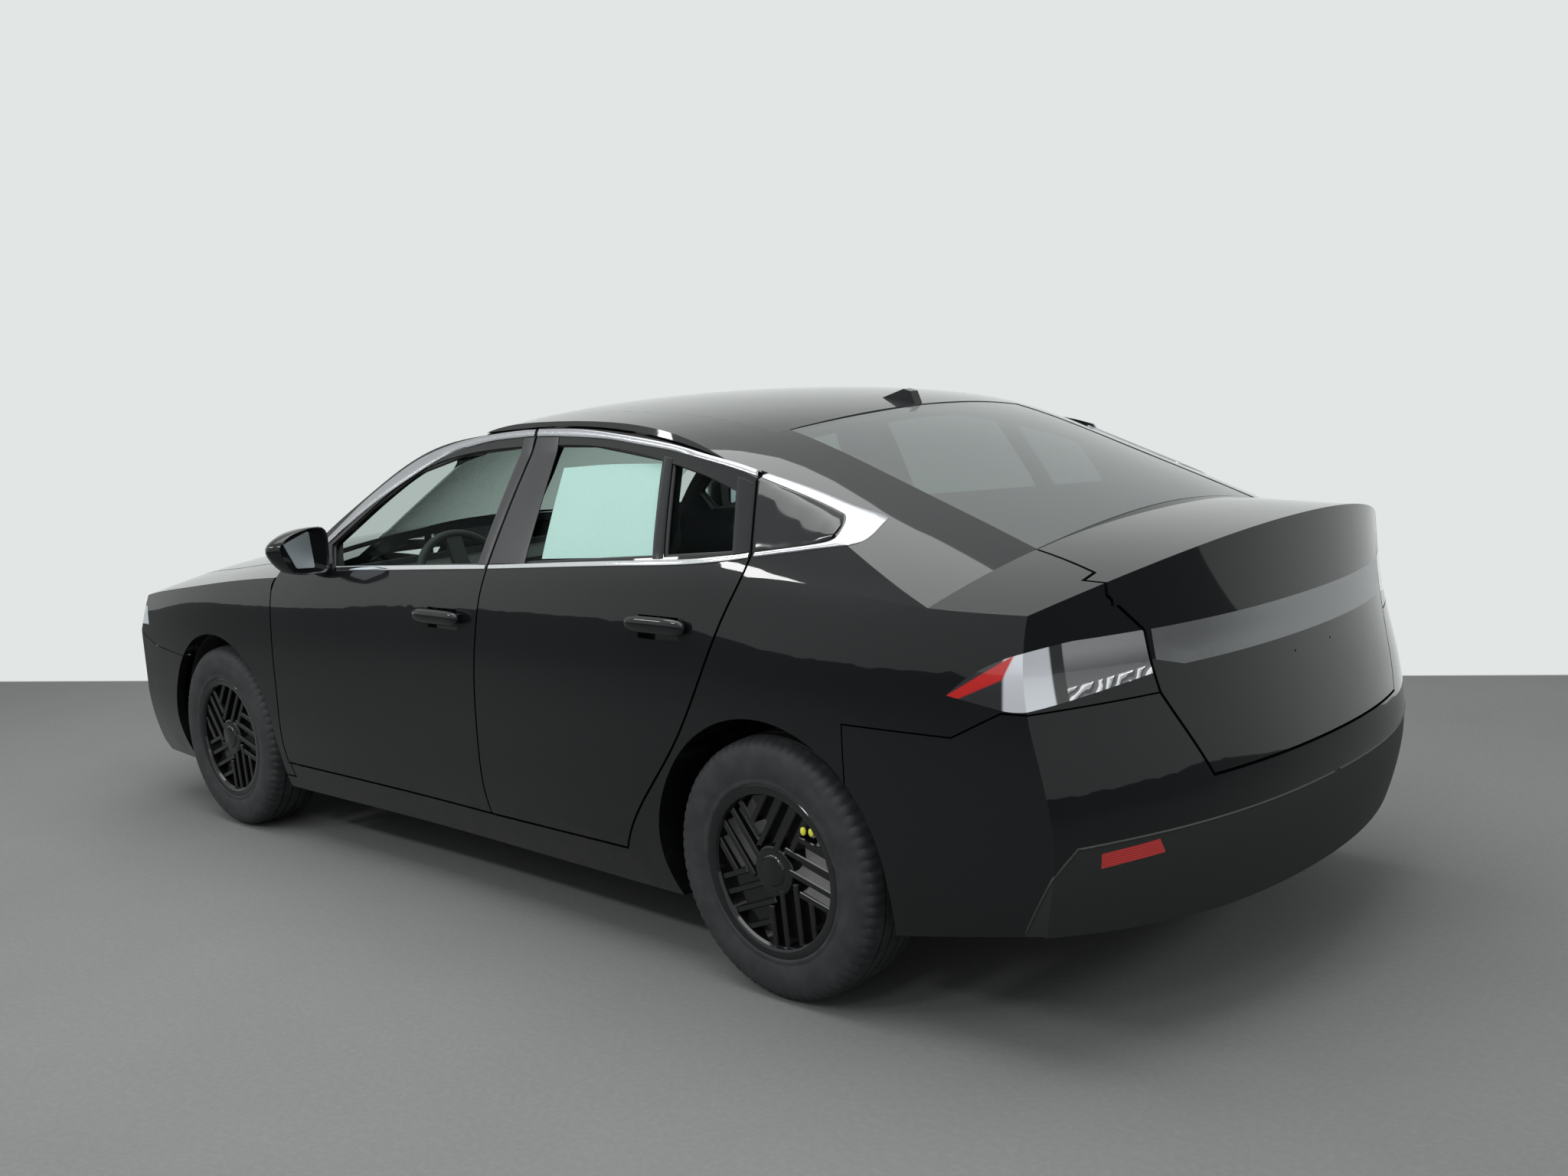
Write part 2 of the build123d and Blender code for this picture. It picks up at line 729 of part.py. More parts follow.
# The rubber stops on which the closed bonnet rests.
with BuildPart() as hood_stops:
    for y in (-480, 480):
        with Locations((2090, y, 740)):
            Cylinder(16, 300)
    add(low_block(30 + seat), mode=Mode.INTERSECT)
with BuildPart() as front_frame:
    add(liner.part)
    add(flip(liner.part))
    add(front_beam.part)
    add(hood_stops.part)
    for side in (-1, 1):
        with Locations((1600, side * 455, 470)):
            Box(1060, 82, 110)
        with Locations((front_axle_x, side * 545, 790)):
            Cylinder(95, 160)
        with Locations((2100, side * 560, 480)):
            Box(40, 160, 380)
    with Locations((2100, 0, 650), (2100, 0, 310)):
        Box(40, 1200, 40)
    with Locations((2090, 0, 485)):
        Box(30, 960, 310)
save(front_frame.part, "front_frame")

kingpin_y = 700
arm_top = 249
with BuildPart() as subframe:
    with Locations((front_axle_x - 60, 0, 250)):
        Box(320, 800, 60)
    for side in (-1, 1):
        with Locations((front_axle_x, side * 555, arm_top - 13)):
            Box(60, 320, 26)
        with Locations((front_axle_x, side * 455, (arm_top + 415 - seat) / 2)):
            Box(60, 50, 415 - seat - arm_top)
save(subframe.part, "subframe")
with BuildPart() as rear_axle:
    with Locations((-1130, 0, 300)):
        Box(90, 960, 70)
    for side in (-1, 1):
        with Locations((-1180, side * 560, 300)):
            Box(430, 60, 56)
        with Locations((-1130, side * 500, 300)):
            Box(90, 100, 56)
        with Locations((rear_axle_x, side * (570 + 764 - seat) / 2, hub_z)):
            Cylinder(34, 194 - seat, rotation=(90, 0, 0))
        with Locations((-1140, side * 420, 345)):
            Box(60, 60, 2 * (25 - seat))
save(rear_axle.part, "rear_axle")
with BuildPart() as engine:
    with Locations((1560, -20, (280 + seat + 800) / 2)):
        Box(560, 720, 800 - 280 - seat)
save(engine.part, "engine")
with BuildPart() as exhaust:
    with Locations((-300, 0, 200 - seat - 28)):
        Cylinder(28, 1900, rotation=(0, 90, 0))
    with Locations((-1560, 200, 305 - seat)):
        Box(260, 520, 130)
    with Locations((-1180, 100, 215)):
        Box(200, 260, 60)
    with Locations((-1355, 100, 238)):
        Cylinder(25, 220, rotation=(0, 90, 0))
save(exhaust.part, "exhaust")

# Inside the cabin.
wheel_tilt = 24
wheel_centre = Vector(575, 370, 853)
column = Vector(cos(radians(wheel_tilt)), 0, -sin(radians(wheel_tilt)))
with BuildPart() as dashboard:
    with BuildSketch(Plane.XZ.offset(-660)):
        with BuildLine():
            Polyline(
                (1049, 640), (1049, 860), (985, 865), (900, 870), (760, 915), (660, 890), (650, 820), (700, 700), (760, 620),
                close=True,
            )
        make_face()
    extrude(amount=1320)
    with BuildSketch(Plane.XZ.offset(-120)):
        with BuildLine():
            Polyline((760, 330), (760, 640), (640, 620), (-50, 520), (-50, 330), close=True)
        make_face()
    extrude(amount=240)
    with Locations(Plane(origin=wheel_centre + column * (18 + seat), z_dir=column).location):
        Cylinder(36, 170, align=(Align.CENTER, Align.CENTER, Align.MIN))
save(dashboard.part, "dashboard")
seat_side = [(-150, 0), (-130, 90), (0, 130), (480, 190), (520, 150), (500, 20)]
back_side = [(-40, 60), (-230, 560), (-300, 800), (-400, 790), (-330, 540), (-160, 20)]
with BuildPart() as front_seats:
    for y in (-370, 370):
        for shape, wide in ((seat_side, 500), (back_side, 480)):
            with BuildSketch(Plane.XZ.offset(-y - wide / 2)):
                with Locations((-40, 330)):
                    add(polygon(shape))
            extrude(amount=wide)
        with Locations((-40 + 180, y, 290.5 + seat)):
            Box(420, 420, 91)
save(front_seats.part, "front_seats")
with BuildPart() as rear_seat:
    with BuildSketch(Plane.XZ.offset(-600)):
        with BuildLine():
            Polyline((-1254.7, 400.3), (-1254.7, 960), (-1180, 960), (-1010, 520), (-560, 560), (-530, 520), (-560, 400.3), close=True)
        make_face()
    extrude(amount=1200)
    add(brick(-1256, -860, 480, 610, 200, 730), mode=Mode.SUBTRACT)
    add(brick(-1256, -860, -610, -480, 200, 730), mode=Mode.SUBTRACT)
    add(brick(-878, -540, -500, 500, 245 + seat, 402))
    add(brick(-900, -530, -112, 112, 240, 332), mode=Mode.SUBTRACT)
save(rear_seat.part, "rear_seat")

with BuildPart() as steering_wheel:
    with BuildSketch(Plane.XZ):
        with Locations((178, 0)):
            Circle(15)
    revolve(axis=Axis.Z)
    Cylinder(62, 36)
    Box(350, 46, 18)
    with Locations((0, -90, 0)):
        Box(60, 180, 18)
wheel_plane = Plane(origin=wheel_centre, z_dir=-column, x_dir=(0, 1, 0))
save(wheel_plane * steering_wheel.part, "steering_wheel")

# The mirrors, each on its door.
with BuildPart() as door_mirror:
    with Locations((640, 985, 1025)):
        Box(110, 210, 140)
    fillet(door_mirror.edges().filter_by(Axis.Y), 30)
    fillet(door_mirror.faces().sort_by(Axis.Y)[-1].edges(), 25)
    with Locations((636, 865, 968)):
        Box(80, 90, 50)
    add(skin_zero, mode=Mode.SUBTRACT)
save_pair(largest(door_mirror.part), "mirror")

# The wheels. Each is drawn about its own hub, with the outer side towards +Y.
spoke_count = 5
with BuildPart() as rim:
    with BuildSketch(Plane.YZ):
        with BuildLine():
            Polyline(
                (-97, 216), (-90, 216), (-90, 204), (-60, 196), (60, 196), (90, 204), (90, 216), (97, 216),
                (97, 206), (70, 187), (-70, 187), (-97, 206), close=True,
            )
        make_face()
    revolve(axis=Axis.Y)
    with Locations((0, 55, 0)):
        Cylinder(72, 50, rotation=(90, 0, 0))
    with Locations((0, 84, 0)):
        Cylinder(34, 12, rotation=(90, 0, 0))
    with Locations((0, -20, 0)):
        Cylinder(140, 22, rotation=(90, 0, 0))
    with Locations((0, 10, 0)):
        Cylinder(75, 60, rotation=(90, 0, 0))
    for turn in range(spoke_count):
        with Locations(Rotation(0, turn * 360 / spoke_count, 0)):
            for place, low, high in ((-33, 10, 188), (-11, 20, 190), (11, 20, 190), (33, 10, 188)):
                with Locations((place, 76, (low + high) / 2)):
                    Box(13, 16, high - low)
rim_part = rim.part
with BuildPart() as tyre:
    with BuildSketch(Plane.YZ):
        with BuildLine():
            Polyline(
                (-89.7, 204.3), (-89.7, 219), (-99, 240), (-102.5, 268), (-98, 300), (-84, 318), (-60, 325), (0, tyre_radius),
                (60, 325), (84, 318), (98, 300), (102.5, 268), (99, 240), (89.7, 219), (89.7, 204.3), close=True,
            )
        make_face()
    revolve(axis=Axis.Y)
tyre_part = tyre.part
with BuildPart() as knuckle:
    with Locations((front_axle_x, (690 + 764 - seat) / 2, hub_z)):
        Cylinder(60, 74 - seat, rotation=(90, 0, 0))
    with Locations((front_axle_x, kingpin_y, (arm_top + seat + hub_z) / 2)):
        Cylinder(20, hub_z - arm_top - seat)
save_pair(knuckle.part, "knuckle")
for place, x in (("front", front_axle_x), ("rear", rear_axle_x)):
    spot = Location((x, track / 2, hub_z))
    save_pair(spot * rim_part, "wheel_" + place)
    save_pair(spot * tyre_part, "tyre_" + place)
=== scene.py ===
from math import cos, exp, log, pi, radians, sin, sqrt

import bmesh
import bpy
from mathutils import Matrix, Vector
from mathutils.bvhtree import BVHTree


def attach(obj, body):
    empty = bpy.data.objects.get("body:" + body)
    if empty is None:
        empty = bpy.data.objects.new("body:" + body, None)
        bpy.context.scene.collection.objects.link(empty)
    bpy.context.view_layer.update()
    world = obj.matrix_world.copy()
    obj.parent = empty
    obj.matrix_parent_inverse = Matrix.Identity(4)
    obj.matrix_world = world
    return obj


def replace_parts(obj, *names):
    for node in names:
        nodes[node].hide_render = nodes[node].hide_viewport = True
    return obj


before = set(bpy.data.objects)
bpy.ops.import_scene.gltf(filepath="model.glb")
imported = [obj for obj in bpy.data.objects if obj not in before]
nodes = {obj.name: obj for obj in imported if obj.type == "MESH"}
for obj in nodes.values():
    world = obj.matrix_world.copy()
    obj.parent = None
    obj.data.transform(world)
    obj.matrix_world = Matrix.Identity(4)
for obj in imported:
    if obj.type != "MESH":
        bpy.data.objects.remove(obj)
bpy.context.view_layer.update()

# %% [markdown]
# # A black four-door sedan
# The imported CAD model is loaded first and stays where it is. Every other piece is made around it in
# metres, with +X forward, +Y to the car's left and +Z up, so a size read from the CAD needs no fitting.
# The car's box is kept from here to the end. The finished looks may not make the car any larger.

# %% [markdown]
# ## The camera
# The picture was taken from behind the car's left rear wheel at standing height, with the camera held
# slightly askew. The place, the direction and the lens come from lining up known points of the car, such
# as wheel centres and window corners. A camera looks along its own -Z, so its axes are worked out from
# the direction and set as one matrix, which can hold the tilt as well.

# %% Camera
camera_place = Vector((-3.911, 3.434, 1.540))
camera_heading = radians(-45.75)
camera_pitch = radians(-8.32)
camera_tilt = radians(-3.78)
lens_mm = 36.12

forward = Vector(
    (
        cos(camera_pitch) * cos(camera_heading),
        cos(camera_pitch) * sin(camera_heading),
        sin(camera_pitch),
    )
)
level = forward.cross(Vector((0, 0, 1))).normalized()
upward = level.cross(forward)
right = level * cos(camera_tilt) + upward * sin(camera_tilt)
top = upward * cos(camera_tilt) - level * sin(camera_tilt)
camera_data = bpy.data.cameras.new("camera")
camera_data.sensor_width = 36
camera_data.lens = lens_mm
camera_data.clip_end = 200
camera = bpy.data.objects.new("camera", camera_data)
bpy.context.scene.collection.objects.link(camera)
camera.matrix_world = Matrix.Translation(camera_place) @ Matrix((right, top, -forward)).transposed().to_4x4()
bpy.context.scene.camera = camera
print("camera at", [round(v, 2) for v in camera_place], "lens", lens_mm)

# %% [markdown]
# ## Shader maths in Python
# A finish is a small network of nodes. Wired by hand it takes many lines, so one class stands for the value
# that leaves a socket, and adding, subtracting or multiplying such values adds the Math node for it.
# Every other node comes from one method, which sets its options first and then its sockets.


# %% Values that add their own nodes
class Value:
    """What leaves a socket of a finish's nodes."""

    def __init__(self, finish, socket):
        self.finish = finish
        self.socket = socket

    def maths(self, operation, *values):
        return self.finish.node("ShaderNodeMath", {"operation": operation}, *values)

    def __add__(self, other):
        return self.maths("ADD", self, other)

    def __sub__(self, other):
        return self.maths("SUBTRACT", self, other)

    def __rsub__(self, other):
        return self.maths("SUBTRACT", other, self)

    def __mul__(self, other):
        return self.maths("MULTIPLY", self, other)

    def __pow__(self, other):
        return self.maths("POWER", self, other)

    def __abs__(self):
        return self.maths("ABSOLUTE", self)

    __radd__ = __add__
    __rmul__ = __mul__

    def soft(self, low, high):
        """0 up to low, 1 from high on, and a smooth rise between."""
        settings = {"interpolation_type": "SMOOTHSTEP"}
        inputs = {"Value": self, "From Min": low, "From Max": high}
        return self.finish.node("ShaderNodeMapRange", settings, **inputs)


class Finish:
    """A material of the car, with one Principled shader and the nodes that feed it."""

    def __init__(self, name, colour, roughness, **constants):
        self.material = bpy.data.materials.new(name)
        self.material.use_nodes = True
        self.tree = self.material.node_tree
        self.shader = self.tree.nodes["Principled BSDF"]
        self.material.diffuse_color = (*colour, 1)
        self.feed("Base Color", colour)
        self.feed("Roughness", roughness)
        for label, value in constants.items():
            self.feed(label.replace("_", " "), value)

    def socket(self, sockets, label):
        """The socket with a place, an identifier or a name."""
        if isinstance(label, int):
            return [s for s in sockets if s.enabled][label]
        found = [s for s in sockets if s.identifier == label]
        return (found or [s for s in sockets if s.enabled and s.name == label])[0]

    def set(self, socket, value):
        """Links a value to a socket, or writes a constant into it."""
        if isinstance(value, Value):
            self.tree.links.new(value.socket, socket)
        elif isinstance(value, (tuple, list)) and len(value) == 3 and socket.type == "RGBA":
            socket.default_value = (*value, 1)
        else:
            socket.default_value = value

    def feed(self, label, value):
        self.set(self.socket(self.shader.inputs, label), value)

    def node(self, kind, settings=None, *values, out=0, **named):
        """A node of any kind: its settings, then its sockets by place or by name."""
        made = self.tree.nodes.new(kind)
        for key, setting in (settings or {}).items():
            setattr(made, key, setting)
        for place, value in enumerate(values):
            self.set(self.socket(made.inputs, place), value)
        for label, value in named.items():
            self.set(self.socket(made.inputs, label), value)
        return Value(self, self.socket(made.outputs, out))

    def place(self):
        """Where a point of the surface is, in metres in the car's frame."""
        return self.node("ShaderNodeTexCoord", out="Object")

    def axis(self, letter):
        return self.node("ShaderNodeSeparateXYZ", None, self.place(), out=letter)

    def noise(self, scale, detail=3.0, rough=0.5, vector=None):
        inputs = {"Vector": vector or self.place(), "Scale": scale, "Detail": detail, "Roughness": rough}
        return self.node("ShaderNodeTexNoise", None, **inputs)

    def mix(self, share, first, second):
        """One colour passing into another."""
        inputs = {"Factor_Float": share, "A_Color": first, "B_Color": second}
        return self.node("ShaderNodeMix", {"data_type": "RGBA"}, out="Result_Color", **inputs)

    def relief(self, height, distance):
        """Feeds a height in metres into the shader's normal."""
        bump = self.node("ShaderNodeBump", None, Height=height, Distance=distance)
        self.feed("Normal", bump)


print("shader maths ready")

# %% [markdown]
# ## Body paint
# The real finish is a solid black under a clear coat. The base layer is dull and almost black, and the
# clear coat on top gives the sharp reflections. Sprayed lacquer is never quite flat, so a very low relief
# with a grain of a few millimetres breaks up the reflections the way orange peel does, and a little road
# dust low on the sides takes away some of the shine.


# %% Paint
def painted(name, colour, dust_colour, coat):
    lacquer = {"Coat_Weight": coat, "Coat_Roughness": 0.025, "Coat_IOR": 1.38}
    finish = Finish(name, colour, 0.4, **lacquer, Specular_IOR_Level=0.05)
    low_down = 1 - finish.axis("Z").soft(0.16, 0.42)
    dust = finish.noise(9, 6, 0.65).soft(0.42, 0.75) * low_down * 0.5
    finish.feed("Base Color", finish.mix(dust, colour, dust_colour))
    finish.feed("Roughness", 0.34 + dust * 0.3)
    finish.feed("Coat Weight", coat - dust * 0.5)
    finish.relief(finish.noise(260, 2), 0.00002)
    return finish


body_paint = painted("black_body_paint", (0.0052, 0.0056, 0.0066), (0.05, 0.047, 0.042), 1.0)
print("paint", body_paint.material.name)

# %% [markdown]
# ## Black plastic, rubber and trim
# The car's blacks differ in how they shine: the pillar covers are smooth and satin, the wheels are glossy,
# plastic low down is moulded with a fine leather-like grain, and the tyres are dull rubber with a grey bloom.
# The grain comes from cell-shaped noise used as relief, because on the real parts it is pressed in.


# %% Plastics and rubber
def moulded(name, colour, roughness, grain_scale, grain_height):
    finish = Finish(name, colour, roughness)
    edges = {"feature": "DISTANCE_TO_EDGE"}
    cells = finish.node("ShaderNodeTexVoronoi", edges, Vector=finish.place(), Scale=grain_scale)
    tone = finish.noise(14, 5)
    finish.feed("Base Color", finish.mix(tone * 0.6, colour, tuple(c * 1.7 + 0.002 for c in colour)))
    finish.feed("Roughness", roughness - 0.06 + tone * 0.12)
    finish.relief(cells.soft(0, 0.25), grain_height)
    return finish


satin_trim = moulded("satin_black_trim", (0.011, 0.011, 0.013), 0.34, 420, 0.00003)
gloss_trim = moulded("gloss_black_trim", (0.004, 0.004, 0.005), 0.09, 300, 0.000005)
valance_plastic = moulded("grained_black_plastic", (0.014, 0.0145, 0.015), 0.46, 520, 0.0001)
cabin_plastic = moulded("cabin_plastic", (0.018, 0.018, 0.019), 0.58, 620, 0.0001)
underside = moulded("underbody_coating", (0.013, 0.013, 0.013), 0.8, 150, 0.0004)

tyre_rubber = Finish("tyre_rubber", (0.016, 0.017, 0.019), 0.72)
bloom = tyre_rubber.noise(22, 6, 0.6)
greyed = tyre_rubber.mix(bloom.soft(0.3, 0.8), (0.012, 0.013, 0.015), (0.03, 0.031, 0.033))
tyre_rubber.feed("Base Color", greyed)
tyre_rubber.feed("Roughness", 0.62 + bloom * 0.2)
tyre_rubber.relief(tyre_rubber.noise(900, 2), 0.00006)
seal_rubber = moulded("seal_rubber", (0.006, 0.006, 0.007), 0.6, 500, 0.00004)
print("plastics and rubber ready")

# %% [markdown]
# ## Bright metal and plain steel
# The strip over the side windows is brushed satin metal. Its brush marks run along the car, so the noise is
# stretched: a point's X is divided before it is looked up, which draws the grain out lengthwise. Cast and
# pressed steel below the car only needs uneven tone and a rough surface.


# %% Metals
def metal(name, colour, roughness, stretch, scale, height):
    finish = Finish(name, colour, roughness, Metallic=1.0)
    drawn = finish.node("ShaderNodeVectorMath", {"operation": "MULTIPLY"}, finish.place(), stretch)
    grain = finish.noise(scale, 4, 0.6, vector=drawn)
    finish.feed("Base Color", finish.mix(grain, tuple(c * 0.86 for c in colour), colour))
    finish.feed("Roughness", roughness - 0.05 + grain * 0.1)
    finish.relief(grain, height)
    return finish


satin_silver = metal("satin_silver", (0.44, 0.45, 0.47), 0.26, (0.04, 1, 1), 700, 0.00002)
dark_silver = metal("dark_silver", (0.25, 0.255, 0.265), 0.24, (1, 0.04, 1), 600, 0.00001)
bright_chrome = metal("bright_chrome", (0.85, 0.86, 0.88), 0.07, (1, 1, 1), 60, 0.000005)
cast_metal = metal("cast_metal", (0.30, 0.30, 0.31), 0.55, (1, 1, 1), 240, 0.0003)
pressed_steel = metal("pressed_steel", (0.09, 0.09, 0.095), 0.6, (1, 1, 1), 60, 0.0001)
exhaust_steel = metal("exhaust_steel", (0.33, 0.30, 0.26), 0.42, (0.1, 1, 1), 120, 0.0001)
print("metals ready")

# %% [markdown]
# ## Glass and lamp lenses
# Car glass is thin and faintly green, and what shows is mostly the reflection on it. Real refraction through
# two thin faces costs time and changes little, so the pane is a mix of clear see-through and a glossy
# coat, with more coat at a glancing angle. The lamps use the same idea with more colour in them.


# %% Glass
def glazing(name, tint, gloss_colour, base_share, roughness=0.02, ior=1.5):
    """See-through tint under a polished face; the share of gloss rises at a glancing angle."""
    finish = Finish(name, gloss_colour, roughness, Specular_IOR_Level=0.5, IOR=ior)
    clear = finish.node("ShaderNodeBsdfTransparent", None, Color=tint)
    glance = finish.node("ShaderNodeLayerWeight", None, out="Facing", Blend=0.5) ** 5
    streaks = finish.noise(3, 4).soft(0.3, 0.8)
    share = glance * (1 - base_share) + base_share + streaks * 0.01
    output = finish.tree.nodes["Material Output"]
    both = finish.node("ShaderNodeMixShader", None, share, clear, Value(finish, finish.shader.outputs[0]))
    finish.tree.links.new(both.socket, output.inputs["Surface"])
    return finish


side_glass = glazing("green_side_glass", (0.78, 0.83, 0.81), (0.01, 0.015, 0.014), 0.03)
rear_glass = glazing("dark_rear_glass", (0.50, 0.55, 0.54), (0.26, 0.27, 0.27), 0.36)
clear_lens = glazing("clear_lens", (0.93, 0.95, 0.97), (0.1, 0.1, 0.11), 0.06)
red_lens = Finish("red_lens", (0.45, 0.008, 0.008), 0.12, Coat_Weight=1.0, Coat_Roughness=0.02)
ribs = red_lens.node("ShaderNodeTexWave", {"bands_direction": "Z"}, Vector=red_lens.place(), Scale=60.0)
red_lens.feed("Base Color", red_lens.mix(ribs, (0.30, 0.004, 0.005), (0.62, 0.02, 0.015)))
print("glass ready")

# %% [markdown]
# ## The tail lamp and the rear bumper
# The lamp is one clear moulding with several parts behind it: a red light guide that starts as a thin point
# on the side of the car, a bright reflector at the corner, and a smoked block on the rear face with small
# facets along its lower edge. Where each part lies follows from a point's own place, so half-planes in the
# side view, multiplied together, pick them out. The bumper's lower part is bare grained plastic below a
# ledge, and it is picked out in the same way.

# %% Lamp and bumper finishes
tail_lamp_finish = Finish("tail_lamp", (0.2, 0.2, 0.21), 0.16, Coat_Weight=1.0, Coat_Roughness=0.02)
lamp_x, lamp_y, lamp_z = (tail_lamp_finish.axis(letter) for letter in "XYZ")
lamp_y = abs(lamp_y)
red_low = (lamp_z - 0.806 + (lamp_x + 1.907) * 0.45).soft(0, 0.006)
red_back = (lamp_x + 2.043 + (lamp_z - 0.910) * 0.5).soft(0, 0.006)
red_top = (0.833 - lamp_z - (lamp_x + 1.907) * 0.60).soft(0, 0.006)
red_part = red_low * red_back * red_top
corner = (0.0 - lamp_x - 2.010).soft(0, 0.01) * (lamp_y - 0.795).soft(0, 0.006)
column = (0.795 - lamp_y).soft(0, 0.004) * (lamp_y - 0.772).soft(0, 0.004)
rear_face = (0.772 - lamp_y).soft(0, 0.004)
facet_top = (0.838 - lamp_z + (0.7 - lamp_y) * 0.10).soft(0, 0.004)
facet_row = rear_face * facet_top * (lamp_z - 0.800).soft(0, 0.003)
facets = tail_lamp_finish.node(
    "ShaderNodeTexWave",
    {"bands_direction": "DIAGONAL"},
    Vector=tail_lamp_finish.place(),
    Scale=15.0,
    Distortion=7.0,
)
smoked = tail_lamp_finish.mix((lamp_z - 0.855).soft(0, 0.05), (0.15, 0.15, 0.157), (0.44, 0.445, 0.46))
tone = tail_lamp_finish.mix(rear_face, (0.02, 0.02, 0.022), smoked)
tone = tail_lamp_finish.mix(facet_row * facets.soft(0.45, 0.6), tone, (0.95, 0.96, 0.98))
tone = tail_lamp_finish.mix(column, tone, (0.02, 0.02, 0.022))
tone = tail_lamp_finish.mix(corner, tone, (0.72, 0.74, 0.80))
tone = tail_lamp_finish.mix(red_part, tone, (0.52, 0.012, 0.012))
tail_lamp_finish.feed("Base Color", tone)
tail_lamp_finish.feed("Metallic", (corner * 0.3 + rear_face * 0.6) * (1 - red_part))
tail_lamp_finish.relief(facet_row * facets, 0.002)

bumper_finish = painted("bumper_paint", (0.0052, 0.0056, 0.0066), (0.05, 0.047, 0.042), 1.0)
bumper_x, bumper_z = bumper_finish.axis("X"), bumper_finish.axis("Z")
bare = (0.5035 - bumper_z).soft(0, 0.001) * ((0.503 - bumper_z) * 0.559 - 2.146 - bumper_x).soft(0, 0.001)
grain = bumper_finish.noise(420, 3, 0.7)
bumper_finish.feed("Base Color", bumper_finish.mix(bare, (0.0052, 0.0056, 0.0066), (0.030, 0.0305, 0.031)))
bumper_finish.feed("Roughness", 0.34 + bare * (grain * 0.16 + 0.06))
bumper_finish.feed("Coat Weight", 1 - bare)
bumper_finish.relief(grain * bare, 0.00025)
print("lamp and bumper ready")

# %% [markdown]
# ## Seat cloth
# The seats wear a woven dark cloth. The weave is two sets of fine waves that cross, one along the car and one
# across it, used for the relief and, more weakly, for the colour.

# %% Cloth
seat_cloth = Finish("seat_cloth", (0.03, 0.03, 0.033), 0.9, Sheen_Weight=0.4, Sheen_Roughness=0.5)
warp = seat_cloth.node("ShaderNodeTexWave", {"bands_direction": "Y"}, Vector=seat_cloth.place(), Scale=300.0)
weft = seat_cloth.node("ShaderNodeTexWave", {"bands_direction": "Z"}, Vector=seat_cloth.place(), Scale=300.0)
weave = (warp + weft) * 0.5
fade = seat_cloth.noise(8, 5)
seat_cloth.feed("Base Color", seat_cloth.mix(weave * fade, (0.016, 0.016, 0.018), (0.075, 0.075, 0.08)))
seat_cloth.relief(weave, 0.0003)
print("cloth ready")

# %% [markdown]
# ## Which node wears which finish
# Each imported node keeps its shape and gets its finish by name. The two sides of the car wear the same, so
# the table gives one word for both.

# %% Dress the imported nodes
worn = {
    "side_frame": body_paint,
    "roof_panel": body_paint,
    "hood": body_paint,
    "boot_lid": body_paint,
    "rear_bumper": bumper_finish,
    "front_bumper": body_paint,
    "front_fender": body_paint,
    "front_door_glass": side_glass,
    "rear_door_glass": side_glass,
    "front_door": body_paint,
    "rear_door": body_paint,
    "windscreen": side_glass,
    "rear_window": rear_glass,
    "boot_lamps": dark_silver,
    "tail_lamp": tail_lamp_finish,
    "rear_reflectors": red_lens,
    "headlamp": clear_lens,
    "grille": gloss_trim,
    "floor_pan": underside,
    "cowl": cabin_plastic,
    "front_frame": underside,
    "subframe": pressed_steel,
    "rear_axle": pressed_steel,
    "engine": cast_metal,
    "exhaust": exhaust_steel,
    "dashboard": cabin_plastic,
    "front_seats": seat_cloth,
    "rear_seat": seat_cloth,
    "steering_wheel": cabin_plastic,
    "mirror": body_paint,
    "knuckle": cast_metal,
    "wheel": gloss_trim,
    "tyre": tyre_rubber,
}
for name, node in nodes.items():
    kind = max((word for word in worn if name.startswith(word)), key=len)
    node.data.materials.clear()
    node.data.materials.append(worn[kind].material)
print("dressed", len(nodes), "nodes")

# %% [markdown]
# ## The car's side as a formula
# Mouldings, seals and covers lie on the side of the body, so they need to know where it is. The side is the
# same sum of smooth bulges that the CAD model was made from: half the width, less the taper of nose and
# tail, less the tuck of the sill, and less the lean of the windows above the waist. At the rear pillar the
# roof cuts into that form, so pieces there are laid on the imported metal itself, found by casting rays at it.
# Lengths here are in millimetres, as on a drawing, and become metres when a point is placed.


# %% Places on the side
def spread(low, high, count):
    """Evenly spaced values from low to high."""
    return [low + (high - low) * i / (count - 1) for i in range(count)]


def blend(t):
    """Smooth step from 0 to 1."""
    t = min(max(t, 0), 1)
    return t * t * (3 - 2 * t)


def ramp(t, soft):
    """A ramp that starts at 0, rounded over the length soft."""
    return soft * log(1 + exp(t / soft)) if t < 30 * soft else t


def belt(x):
    """Height of the waistline, which rises to the rear."""
    return 1000 - 0.068 * (x + 212)


def side_y(x, z):
    """Half width of the car at a place along it and a height."""
    y = 913
    y -= 78 * (max(x - 1250, 0) / 1078) ** 2.2
    y -= 92 * (max(-1350 - x, 0) / 978) ** 2.2
    y -= 20 * exp(-(((x - 150) / 780) ** 2))
    y -= 62 * (max(430 - z, 0) / 260) ** 2
    y -= 40 * (min(max(z - 620, 0), 700) / 350) ** 2 * 0.55
    y -= 0.315 * ramp(z - belt(x) + 30, 26)
    y -= blend((-1000 - x) / 800) * 0.34 * ramp(z - belt(x) + 130, 45)
    return y


def skin(name):
    """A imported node's mesh as a tree that can be asked where a ray meets it."""
    mesh = nodes[name].data
    return BVHTree.FromPolygons([v.co for v in mesh.vertices], [f.vertices for f in mesh.polygons])


pillar_skin = skin("side_frame_left")


